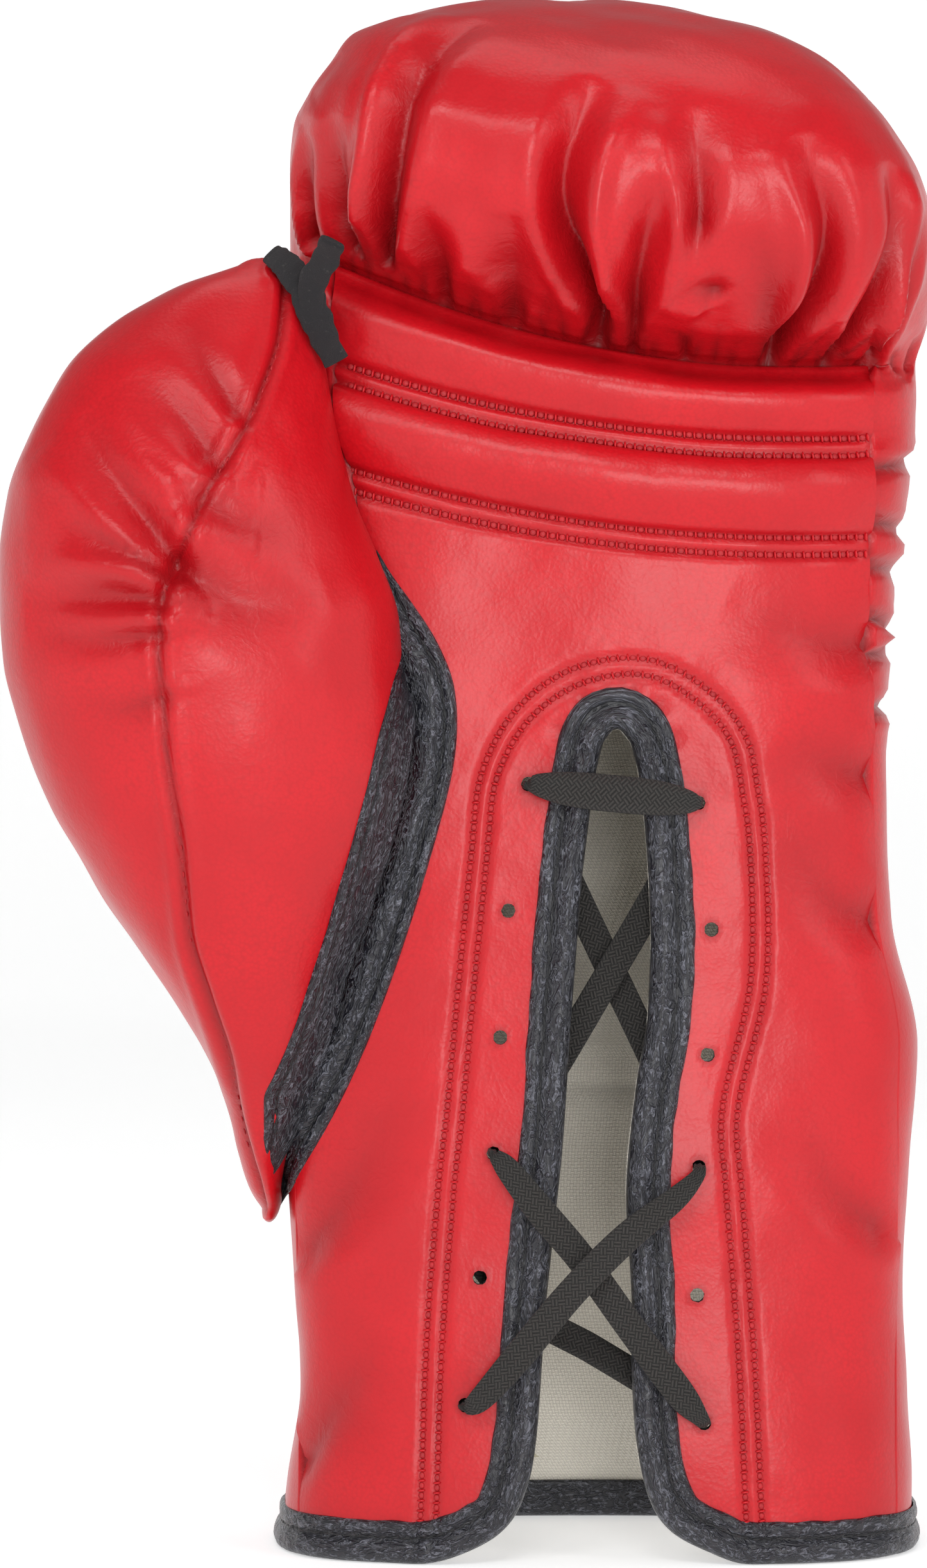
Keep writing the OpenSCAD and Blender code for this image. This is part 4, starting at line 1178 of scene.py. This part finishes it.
PALM_BAND = [
    (-16, 188), (-13, 183), (-9.1, 177.5), (-5, 171), (-2, 163.6), (-1.2, 155.5), (-2.1, 146.6),
    (-5, 134.8), (-10.4, 117), (-17.1, 98.5), (-23.9, 83.5), (-31.2, 70.4), (-35.5, 63),
]
THUMB_BAND = [
    (-17, 192), (-16, 186.5), (-13, 178), (-12, 170), (-13.2, 162), (-16, 151.5), (-18.8, 139.7),
    (-23.4, 122.6), (-26.8, 111.6), (-32.2, 97), (-37.5, 86), (-41.5, 77), (-43, 70),
]
PALM_BAND_SECTION = [
    (-0.1, -0.4), (0.0, 0.5), (0.4, 0.95), (1.3, 1.1), (1.9, 0.8), (2.25, 0.25), (2.7, 0.8), (3.6, 1.5),
    (4.9, 1.8), (6.2, 1.4), (7.2, 0.7), (8.6, 0.1), (10.0, 0.1), (12.0, 0.0),
]
THUMB_BAND_SECTION = [
    (-0.1, -0.4), (0.0, 0.5), (0.4, 0.9), (1.3, 1.05), (1.9, 0.8), (2.3, 0.25), (2.8, 0.8), (4.0, 1.1),
    (5.6, 1.0), (7.2, 1.1), (8.6, 1.5), (9.8, 2.2), (11.0, 2.1), (12.0, 1.0), (12.6, -0.6),
]


# How many samples a band takes to narrow at its ends, and how high the stitched groove lies.
BAND_TAPER = 14
GROOVE_HEIGHT = 0.25


def band_grid(section, surface, count):
    """A band of the given section over a surface(across) -> points and normals along the band."""
    rows, normals, marks = [], [], []
    fade = np.clip(np.minimum(np.arange(count), np.arange(count)[::-1]) / BAND_TAPER, 0.04, 1) ** 0.7
    for across, up in section:
        points, n = surface(across * fade)
        rows.append(points + n * (up * fade)[:, None])
        normals.append(n)
        # painted shade: the band's stitched groove is marked to be darkened
        marks.append(0.9 if up == GROOVE_HEIGHT else 0.0)
    return np.array(rows), np.array(normals), np.broadcast_to(np.array(marks)[:, None], (len(rows), count))


def band_object(name, look, section, surface, count, body, node):
    grid, normal, mark = band_grid(section, surface, count)
    grid = crinkled(grid, normal, np.full(grid.shape[:2], 0.9))
    flipped = facing_out(grid, normal[len(section) // 2, count // 2])
    obj = grid_object(name, flipped, binding(look), marks={"fold": mark}, uv=band_uv(flipped))
    smoothed(obj)
    return finish_piece(obj, body, "binding", node)


def palm_band_surface():
    p = smooth_path(PALM_BAND, 1.1)
    t = unit(np.gradient(p, axis=0))
    side = np.stack([t[:, 1], -t[:, 0]], -1)
    side = np.where(side[:, :1] > 0, -side, side)
    row = to_row(p[:, 0], p[:, 1])

    def at(across):
        skin, n, _ = palm_skin(p[:, 0] + side[:, 0] * across, row + side[:, 1] * across)
        return skin, n

    return at, len(p)


def thumb_band_surface():
    p = smooth_path(THUMB_BAND, 1.1)
    a = np.radians(np.linspace(268, 400, 500))
    dense = thumb_ring_at(a[None, :], p[:, 1][:, None])
    e = 1e-3
    out = unit(np.cross(thumb_ring_at(a + e, p[:, 1][:, None] + 0 * a) - dense, [0.0, 0.0, 1.0]))
    runs = np.array([lengths(r) for r in dense])
    start = np.array([np.interp(q[0], r[:330, 0], s[:330]) for q, r, s in zip(p, dense, runs)])

    def at(across):
        s = start + across
        points = np.array([[np.interp(v, r, d[:, k]) for k in range(3)] for v, r, d in zip(s, runs, dense)])
        n = unit(np.array([[np.interp(v, r, d[:, k]) for k in range(3)] for v, r, d in zip(s, runs, out)]))
        return off_the_hand(points, 1.6), n

    return at, len(p)


def build_palm_binding(look):
    """The band on the edge of the palm beside the thumb."""
    surface, count = palm_band_surface()
    band_object("palm_binding", look, PALM_BAND_SECTION, surface, count, "hand", "palm_thumb_binding")


def build_thumb_binding(look):
    """The band down the inner edge of the thumb."""
    surface, count = thumb_band_surface()
    band_object("thumb_edge_binding", look, THUMB_BAND_SECTION, surface, count, "thumb", "thumb_binding")


# Linings, lace, thread and tape ---------------------------------------------------------------------

lining_rumple = Ripple(41, 26.0)


def build_hand_lining(look):
    """The woven lining of the space for the hand, open at the cuff and the lacing slit."""
    z = arc_rows(1, 293, lambda q: 2.2 + 0 * q, (3, 9), cavity_at)
    c = np.concatenate([np.linspace(1, 2, 22), np.linspace(2, 4, 9)[1:-1], np.linspace(4, 5, 24),
                        np.linspace(5, 13, 130)[1:-1]])
    grid = cavity_at(c[None, :], z[:, None])
    normal = grid_normals(grid, closed=True)
    across = np.clip(normal[..., 1], 0, 1)
    crease = np.exp(-((np.abs(grid[..., 2] - 83 - 0.03 * grid[..., 0]) / 1.1) ** 2)) * (across > 0.3)
    puff = np.clip(1 - np.abs(grid[..., 2] - 75) / 30, 0, 1) * (across > 0.3)
    inset = 0.5 + np.clip((z[:, None] - 12) / 8, 0, 1)
    grid = grid - normal * (inset + 0.45 * lining_rumple(grid) - 0.9 * crease + 0.5 * puff)[..., None]
    grid = close_top(grid, 0.3)
    # the crease mark also sets the shade painted along the lining's crease
    crease = np.pad(crease * 0.5, ((0, 5), (0, 0)))
    run = np.cumsum(np.linalg.norm(np.diff(grid, axis=1, prepend=grid[:, :1]), axis=2), 1)
    uv = np.stack([run, np.broadcast_to(grid[..., 2], run.shape)], -1) * MM
    mid = (c + np.append(c[1:], 13)) / 2
    rows = np.concatenate([(z[1:] + z[:-1]) / 2, [300] * 5])
    keep = ~((rows[:, None] < SLIT_TOP) & (mid[None, :] > 2) & (mid[None, :] < 4))
    centre = (grid[:-1] + grid[1:] + np.roll(grid[:-1] + grid[1:], -1, 1)) / 4
    for hx, hz in HOLES:
        keep &= (np.hypot(centre[..., 0] - hx, centre[..., 2] - hz) > 2.1) | (centre[..., 1] > 0)
    obj = grid_object("hand_lining", grid, finish_of("lining", lining_finish, look), closed=True, keep=keep,
                      marks={"fold": crease}, uv=uv)
    close_holes(obj, 240)
    mesh = bmesh.new()
    mesh.from_mesh(obj.data)
    bmesh.ops.reverse_faces(mesh, faces=mesh.faces)
    mesh.to_mesh(obj.data)
    mesh.free()
    finish_piece(obj, "hand", "lining", "back_lining", "palm_lining")


# The lace's way through the holes: x, depth, height, and its width there as a share of the whole.
LACE = [
    (-12, -20, 152, 1), (-12, -19.5, 130, 1), (-12, -19.5, 100, 1), (-12, -20.5, 70, 1), (-9, -23, 50, 1),
    (-3, -25.2, 36, 0.9), (0, -25.2, 30.3, 0.4), (0.3, -29, 29.5, 0.4), (0.3, -34.5, 29.5, 0.4),
    (3, -37, 31, 0.8), (10, -38, 39, 1), (20, -38.5, 51, 1), (30, -38, 61, 1), (39, -36.8, 68, 0.8),
    (43, -36, 72, 0.5), (43.6, -34, 73.5, 0.4), (43.6, -27, 73.5, 0.4), (42.8, -24, 76, 0.6),
    (41, -22.7, 81, 1), (36, -22.4, 92, 1), (26, -22.4, 113, 1), (17, -22.6, 132, 1), (13, -23.6, 141, 0.8),
    (12, -25.4, 144, 0.5), (12, -27.5, 144.5, 0.4), (12, -33.4, 144.5, 0.4), (14, -35, 144.3, 0.8),
    (21, -35.4, 143.4, 1.2), (35, -35.4, 142, 1.2), (41.6, -35, 141.2, 0.8), (43.6, -33.4, 141, 0.4),
    (43.6, -26.8, 141, 0.4), (43.4, -24.2, 139.4, 0.4), (40, -23.7, 131.5, 1), (36, -24, 124, 1),
    (26, -24.4, 107, 1), (14, -24.3, 87, 1), (8, -24.5, 79.5, 0.8), (6, -25.6, 76.6, 0.5),
    (5.6, -28, 76, 0.4), (5.6, -33.6, 76, 0.4), (8, -35, 73.6, 0.8), (14, -35.4, 66, 1),
    (22, -35.4, 56.5, 1), (31, -35.6, 44, 1), (40, -36, 32, 1), (43.6, -35.6, 27.6, 0.6),
    (44.5, -34, 26.3, 0.4), (44.5, -28.4, 26.3, 0.4), (43.6, -25.6, 27, 0.6), (40, -24.6, 29.4, 1),
    (34, -24.4, 33, 1), (24, -24.2, 39, 1), (12, -24, 46, 1), (2, -23.4, 58, 1), (-2, -22, 76, 1),
    (-2, -21.6, 100, 1), (-2, -21.6, 128, 1), (-2, -21.6, 140, 1),
]


def strip_grid(path, across, section, widths):
    """A flat strip along a path: section points (across, up), and its width at each point as a share."""
    ahead = unit(np.gradient(path, axis=0))
    up = unit(np.cross(ahead, across))
    grid = path[:, None] + section[None, :, :1] * across[:, None] * widths[:, None, None] + \
        section[None, :, 1:] * up[:, None]
    run = lengths(path)
    around = lengths(np.vstack([section, section[:1]]))[:-1]
    uv = np.stack(np.broadcast_arrays(run[:, None], around[None, :]), -1) * MM
    return grid, uv


def outward_strip(grid, uv, path):
    """The strip with its faces turned out."""
    j = len(path) // 2
    a, b, c = grid[j, 0], grid[j, 1], grid[j + 1, 0]
    if np.cross(b - a, c - a) @ ((a + b) / 2 - path[j]) < 0:
        return grid[:, ::-1], uv[:, ::-1]
    return grid, uv


def build_lace(look):
    """The flat lace, threaded through the holes and lying across the slit."""
    route = smooth_path(LACE, 0.8)
    path, share = route[:, :3], np.clip(route[:, 3], 0.38, 1.35)
    ahead = unit(np.gradient(path, axis=0))
    across = np.zeros(path.shape)
    last = np.array([1.0, 0, 0])
    for i, t in enumerate(ahead):
        flat = np.cross(t, [0, 1, 0])
        s = flat / np.linalg.norm(flat) if np.linalg.norm(flat) > 0.5 else unit(last - t * (last @ t))
        last = -s if s @ last < 0 else s
        across[i] = last
    section = rounded(5.5, 1.3, 20, 3.2)
    section[:, 1] += 0.16 * np.cos(section[:, 0] / 5.5 * 4 * math.pi)
    grid, uv = strip_grid(path, across, section, share)
    roll = Ripple(51, 22.0)(path)
    lift = unit(np.cross(ahead, across))
    grid += (section[None, :, :1] / 2.75) * lift[:, None] * (0.35 * roll)[:, None, None]
    grid, uv = outward_strip(grid, uv, path)
    obj = grid_object("lace_braid", grid, finish_of("lace", lace_finish, look), closed=True, uv=uv, caps=True)
    finish_piece(obj, "hand", "lace", "lace")


def skin_run(x, row, up):
    skin, n, _ = palm_skin(x, row)
    return skin + n * up, n


def build_red_stitching(look):
    """The red seams: two double rows over the grip and one round the lace holes, with the leather
    pinched up between the stitches, and the seam down the thumb."""
    x = np.linspace(-22, 75.2, 400)
    rows = [skin_run(x, np.full(x.shape, line), 0.4) for line in GRIP_LINES]
    arch = [skin_run(p[:, 0], p[:, 1], 0.3) for p in (resample(line, step=0.6) for line in ARCH_LINES)]
    arch = [(p[4:-4], n[4:-4]) for p, n in arch]
    pitch = look.stitch_pitch / MM
    seams = (("grip", rows, "grip_stitching", 1.25), ("arch", arch, "facing_stitching", 1.1))
    for name, runs, node, width in seams:
        thread = stitches(name + "_stitches", runs, pitch, (1.35, width, 0.5), red_thread(look))
        finish_piece(thread, "hand", "red_thread", node)
        raised = [(p + n * 0.14, n) for p, n in runs]
        pinch = stitches(name + "_pinches", raised, pitch, (0.52, width * 1.35, 0.75),
                         leather(look), 0.5)
        finish_piece(pinch, "hand", "leather")
    seam = thumb_seam_path(0.1)[8:-6]
    n = np.tile(unit(np.array([0.05, -1.0, 0.0])), (len(seam), 1))
    runs = [(seam[part] - n[part] * 1.15, n[part]) for part in (seam[:, 2] < 168, seam[:, 2] > 192)]
    thread = stitches("thumb_seam_stitches", runs, 2.6, (1.3, 0.5, 0.5), red_thread(look))
    finish_piece(thread, "thumb", "red_thread", "thumb_seam_stitching")


def build_black_stitching(look):
    """The black seams that hold the bindings."""
    p = smooth_path(HEM_ROUND, 1.15)
    t = unit(np.gradient(p, axis=0))
    q = p + np.stack([t[:, 1], -t[:, 0]], -1) * 4.95
    front = skin_run(q[:, 0], q[:, 1], 0.5)
    c = np.linspace(13, 5, 300)
    z = np.full(c.shape, 4.95)
    out = unit(hand_at(c, z, -1) - hand_at(c, z))
    side_points, side_n = palm_band_surface()[0](2.25)
    runs = [front, (hand_at(c, z) + out * 0.5, out), ((side_points + side_n * 0.45)[8:-8], side_n[8:-8])]
    stitches("binding_stitches", runs, 2.3, (1.7, 0.55, 0.45), black_thread(look))
    finish_piece(bpy.data.objects["binding_stitches"], "hand", "black_thread", "binding_stitching")
    points, n = thumb_band_surface()[0](2.25)
    edge = [((points + n * 0.45)[8:-8], n[8:-8])]
    stitches("thumb_edge_stitches", edge, 2.3, (1.7, 0.55, 0.45), black_thread(look))
    finish_piece(bpy.data.objects["thumb_edge_stitches"], "thumb", "black_thread")


TAPE_ARMS = [
    ((-35.5, -32.5, 242.5), (-33, -35.5, 240.5), (-29.5, -38, 236), (-27.5, -38.5, 231),
     (-25.5, -37.5, 226.5), (-23.5, -35.5, 222.5)),
    ((-24, -46, 243.5), (-25, -43, 241), (-27.5, -40, 237), (-27.8, -38.9, 232.5), (-26, -37.8, 228)),
]


def build_thumb_tape(look):
    """The napped tape that ties the tip of the thumb to the palm: two arms that meet in one tail."""
    fuzz = Ripple(61, 2.6, 9)
    grids = []
    for k, arm in enumerate(TAPE_ARMS):
        path = smooth_path(arm, 0.5)
        ahead = unit(np.gradient(path, axis=0))
        across = unit(np.cross(np.tile([0.0, -1.0, 0.2], (len(path), 1)), ahead))
        t = np.linspace(0, 1, len(path))
        widths = np.interp(t, (0, 0.1, 0.5, 1), ((0.75, 0.9, 1.2, 0.85), (0.85, 0.9, 1.0, 0.6))[k])
        section = rounded(5.4, 1.7, 22, 2.8)
        grid, uv = strip_grid(path, across, section, widths)
        grid = grid + (grid - path[:, None]) * (0.15 * fuzz(grid))[..., None]
        grids.append(outward_strip(grid, uv, path))
    finish = finish_of("tape", tape_finish, look)
    made = [grid_object(f"tape_arm_{k}", g, finish, closed=True, uv=uv, caps=True)
            for k, (g, uv) in enumerate(grids)]
    bpy.ops.object.select_all(action="DESELECT")
    for obj in made:
        obj.select_set(True)
    bpy.context.view_layer.objects.active = made[0]
    bpy.ops.object.join()
    tape = made[0]
    tape.name = "thumb_tip_tape"
    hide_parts("thumb_tape")
    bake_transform(tape)


HIDDEN_LAYERS = {
    "foam": ("wrist_pad",),
    "facing": ("lace_facing",), "cloth": ("thumb_lining",), "tip": ("lace_tips",),
}


def finish_hidden_layers(look):
    """Finishes for the foam, the backing, the thumb's lining and the lace's tips."""
    made = {
        "foam": finish_of("foam", foam_finish), "facing": finish_of("facing", board_finish),
        "cloth": finish_of("thumb_cloth", lining_finish, look, True), "tip": finish_of("tip", tip_finish),
    }
    for key, names in HIDDEN_LAYERS.items():
        for name in names:
            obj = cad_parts[name]
            if not obj.material_slots:
                obj.data.materials.append(made[key])
            for slot in obj.material_slots:
                slot.material = made[key]


# Stage ----------------------------------------------------------------------------------------------


def stage_finish():
    f = Finish("studio_paper")
    tone = f.noise(f.place(), 3, 1)
    colour = f.mix(tone, (0.9, 0.9, 0.9, 1), (0.93, 0.93, 0.93, 1))
    return f.done(Base_Color=colour, Roughness=0.9 + tone * 0.02,
                  Emission_Color=(1, 1, 1, 1), Emission_Strength=0.5)


def soft_light(name, at, size, power, aim=(0, 0, 0.14)):
    data = bpy.data.lights.new(name, "AREA")
    data.shape, data.size, data.size_y, data.energy = "RECTANGLE", size[0], size[1], power
    obj = bpy.data.objects.new(name, data)
    bpy.context.scene.collection.objects.link(obj)
    obj.location = at
    obj.rotation_euler = (Vector(aim) - Vector(at)).to_track_quat("-Z", "Y").to_euler()
    return obj


# The floor: its closed middle, where it starts to rise, and the radius of its sweep.
FLOOR_MIDDLE = 0.05
FLOOR_RADIUS = 2600
FLOOR_SWEEP = 1400


def build_stage(look):
    """The pale floor that sweeps up behind, the soft lights and the camera."""
    scene = bpy.context.scene
    t = np.linspace(0, math.pi / 2, 16)[1:]
    flat = np.geomspace(FLOOR_MIDDLE, FLOOR_RADIUS, 24)
    radius = np.concatenate([flat, FLOOR_RADIUS + FLOOR_SWEEP * np.sin(t)])
    height = np.concatenate([np.zeros(len(flat)), FLOOR_SWEEP * (1 - np.cos(t))])
    a = np.linspace(0, 2 * math.pi, 64, endpoint=False)
    ring = np.stack([np.cos(a), -np.sin(a), np.zeros(64)], -1)
    grid = ring[None] * radius[:, None, None] + np.array([0, 0, 1]) * height[:, None, None] - DATUM
    paper = grid_object("studio_sweep", grid, stage_finish(), closed=True, caps=False)
    soft_light("key_light", (-0.75, -1.5, 1.15), (0.6, 0.7), look.light_power)
    soft_light("fill_light", (1.2, -1.1, 0.75), (0.45, 0.8), look.light_power * 0.62)
    soft_light("top_light", (0.05, 0.1, 1.7), (1.2, 0.6), look.light_power * 0.62)
    soft_light("front_light", (0.0, -1.25, 1.05), (0.45, 0.35), look.light_power * 0.75, (0, 0, 0.08))
    soft_light("low_light", (0.22, -1.5, 0.2), (0.3, 0.45), look.light_power * 0.8)
    world = bpy.data.worlds.new("studio_world")
    world.use_nodes = True
    world.node_tree.nodes["Background"].inputs["Color"].default_value = (1, 1, 1, 1)
    world.node_tree.nodes["Background"].inputs["Strength"].default_value = look.world_light
    scene.world = world
    scene.view_settings.view_transform = "Standard"
    data = bpy.data.cameras.new("camera")
    data.lens, data.sensor_width, data.sensor_fit = look.lens, 36, "AUTO"
    camera = bpy.data.objects.new("camera", data)
    scene.collection.objects.link(camera)
    camera.location = (-0.00115, -0.997, 0.1445)
    camera.rotation_euler = (math.pi / 2, 0, 0)
    scene.camera = camera


# Settings, operators and panel ----------------------------------------------------------------------


def colour_setting(name, text, default):
    return bpy.props.FloatVectorProperty(name=name, description=text, default=default, subtype="COLOR",
                                         size=3, min=0, max=1)


class GloveSettings(bpy.types.PropertyGroup):
    leather: colour_setting("Leather", "Colour of the coated leather", (0.52, 0.004, 0.01))
    binding: colour_setting("Binding", "Colour of the binding tape", (0.009, 0.009, 0.014))
    # painted highlight: the grey painted on the binding's crinkle crests and flecks, standing in for glints
    binding_glint: colour_setting("Binding glint", "Colour of the tape where it catches the light",
                                 (0.17, 0.175, 0.21))
    lace: colour_setting("Lace", "Colour of the lace", (0.016, 0.0145, 0.013))
    lining: colour_setting("Lining", "Colour of the woven lining", (0.92, 0.87, 0.77))
    red_thread: colour_setting("Red thread", "Colour of the seams in the leather", (0.42, 0.006, 0.012))
    black_thread: colour_setting("Black thread", "Colour of the seams in the binding", (0.01, 0.01, 0.012))
    tape: colour_setting("Tape", "Colour of the napped tape at the thumb", (0.012, 0.011, 0.013))
    grain_density: bpy.props.FloatProperty(
        name="Grain density", description="Leather grains in a metre", default=1430, min=300, max=4000)
    grain_strength: bpy.props.FloatProperty(
        name="Grain strength", description="How strongly the leather's grain shows", default=0.35, min=0,
        max=1,
        subtype="FACTOR")
    stitch_pitch: bpy.props.FloatProperty(
        name="Stitch pitch", description="Distance from one stitch to the next", default=0.00185, min=0.001,
        max=0.006, unit="LENGTH")
    light_power: bpy.props.FloatProperty(
        name="Light power", description="Power of the main light", default=6.0, min=1, max=300, unit="POWER")
    world_light: bpy.props.FloatProperty(
        name="Surround light", description="Strength of the even light from all round", default=0.3, min=0,
        max=3)
    lens: bpy.props.FloatProperty(
        name="Lens", description="Focal length of the camera in millimetres", default=120, min=20, max=300)


def settings():
    return bpy.context.scene.glove_settings


class GLOVE_OT_stage(bpy.types.Operator):
    """Add the floor, the lights and the camera"""
    bl_idname, bl_label = "glove.stage", "Stage"

    def execute(self, context):
        build_stage(settings())
        return {"FINISHED"}


class GLOVE_OT_back_leather(bpy.types.Operator):
    """Add the leather of the fist, sides and back"""
    bl_idname, bl_label = "glove.back_leather", "Back leather"

    def execute(self, context):
        build_back_leather(settings())
        return {"FINISHED"}


class GLOVE_OT_palm_leather(bpy.types.Operator):
    """Add the palm panel"""
    bl_idname, bl_label = "glove.palm_leather", "Palm leather"

    def execute(self, context):
        build_palm_leather(settings())
        return {"FINISHED"}


class GLOVE_OT_thumb_leather(bpy.types.Operator):
    """Add the leather of the thumb"""
    bl_idname, bl_label = "glove.thumb_leather", "Thumb leather"

    def execute(self, context):
        build_thumb_leather(settings())
        return {"FINISHED"}


class GLOVE_OT_bindings(bpy.types.Operator):
    """Add the bindings of the slit, the cuff, the palm's edge and the thumb's edge"""
    bl_idname, bl_label = "glove.bindings", "Bindings"

    def execute(self, context):
        build_hand_bindings(settings())
        build_palm_binding(settings())
        build_thumb_binding(settings())
        return {"FINISHED"}


class GLOVE_OT_lining(bpy.types.Operator):
    """Add the woven lining"""
    bl_idname, bl_label = "glove.lining", "Lining"

    def execute(self, context):
        build_hand_lining(settings())
        return {"FINISHED"}


class GLOVE_OT_lace(bpy.types.Operator):
    """Add the lace"""
    bl_idname, bl_label = "glove.lace", "Lace"

    def execute(self, context):
        build_lace(settings())
        return {"FINISHED"}


class GLOVE_OT_stitching(bpy.types.Operator):
    """Add the rows of stitches"""
    bl_idname, bl_label = "glove.stitching", "Stitching"

    def execute(self, context):
        build_red_stitching(settings())
        build_black_stitching(settings())
        return {"FINISHED"}


class GLOVE_OT_thumb_tape(bpy.types.Operator):
    """Add the tape between the thumb and the palm"""
    bl_idname, bl_label = "glove.thumb_tape", "Thumb tape"

    def execute(self, context):
        build_thumb_tape(settings())
        return {"FINISHED"}


class GLOVE_OT_hidden_layers(bpy.types.Operator):
    """Finish the foam, the backing, the thumb's lining and the lace's tips"""
    bl_idname, bl_label = "glove.hidden_layers", "Hidden layers"

    def execute(self, context):
        finish_hidden_layers(settings())
        return {"FINISHED"}


OPERATORS = (
    GLOVE_OT_stage, GLOVE_OT_back_leather, GLOVE_OT_palm_leather, GLOVE_OT_thumb_leather, GLOVE_OT_bindings,
    GLOVE_OT_lining, GLOVE_OT_lace, GLOVE_OT_stitching, GLOVE_OT_thumb_tape, GLOVE_OT_hidden_layers,
)


class GLOVE_PT_panel(bpy.types.Panel):
    """Settings and steps for the boxing glove"""
    bl_idname, bl_label = "GLOVE_PT_panel", "Boxing Glove"
    bl_space_type, bl_region_type, bl_category = "VIEW_3D", "UI", "Boxing Glove"

    def draw(self, context):
        for key in GloveSettings.__annotations__:
            self.layout.prop(context.scene.glove_settings, key)
        for operator in OPERATORS:
            self.layout.operator(operator.bl_idname)


CLASSES = (GloveSettings, *OPERATORS, GLOVE_PT_panel)


def register():
    for cls in CLASSES:
        bpy.utils.register_class(cls)
    bpy.types.Scene.glove_settings = bpy.props.PointerProperty(type=GloveSettings)


def unregister():
    del bpy.types.Scene.glove_settings
    for cls in reversed(CLASSES):
        bpy.utils.unregister_class(cls)


def main():
    register()
    for operator in OPERATORS:
        group, step = operator.bl_idname.split(".")
        getattr(getattr(bpy.ops, group), step)()


if __name__ == "__main__":
    main()
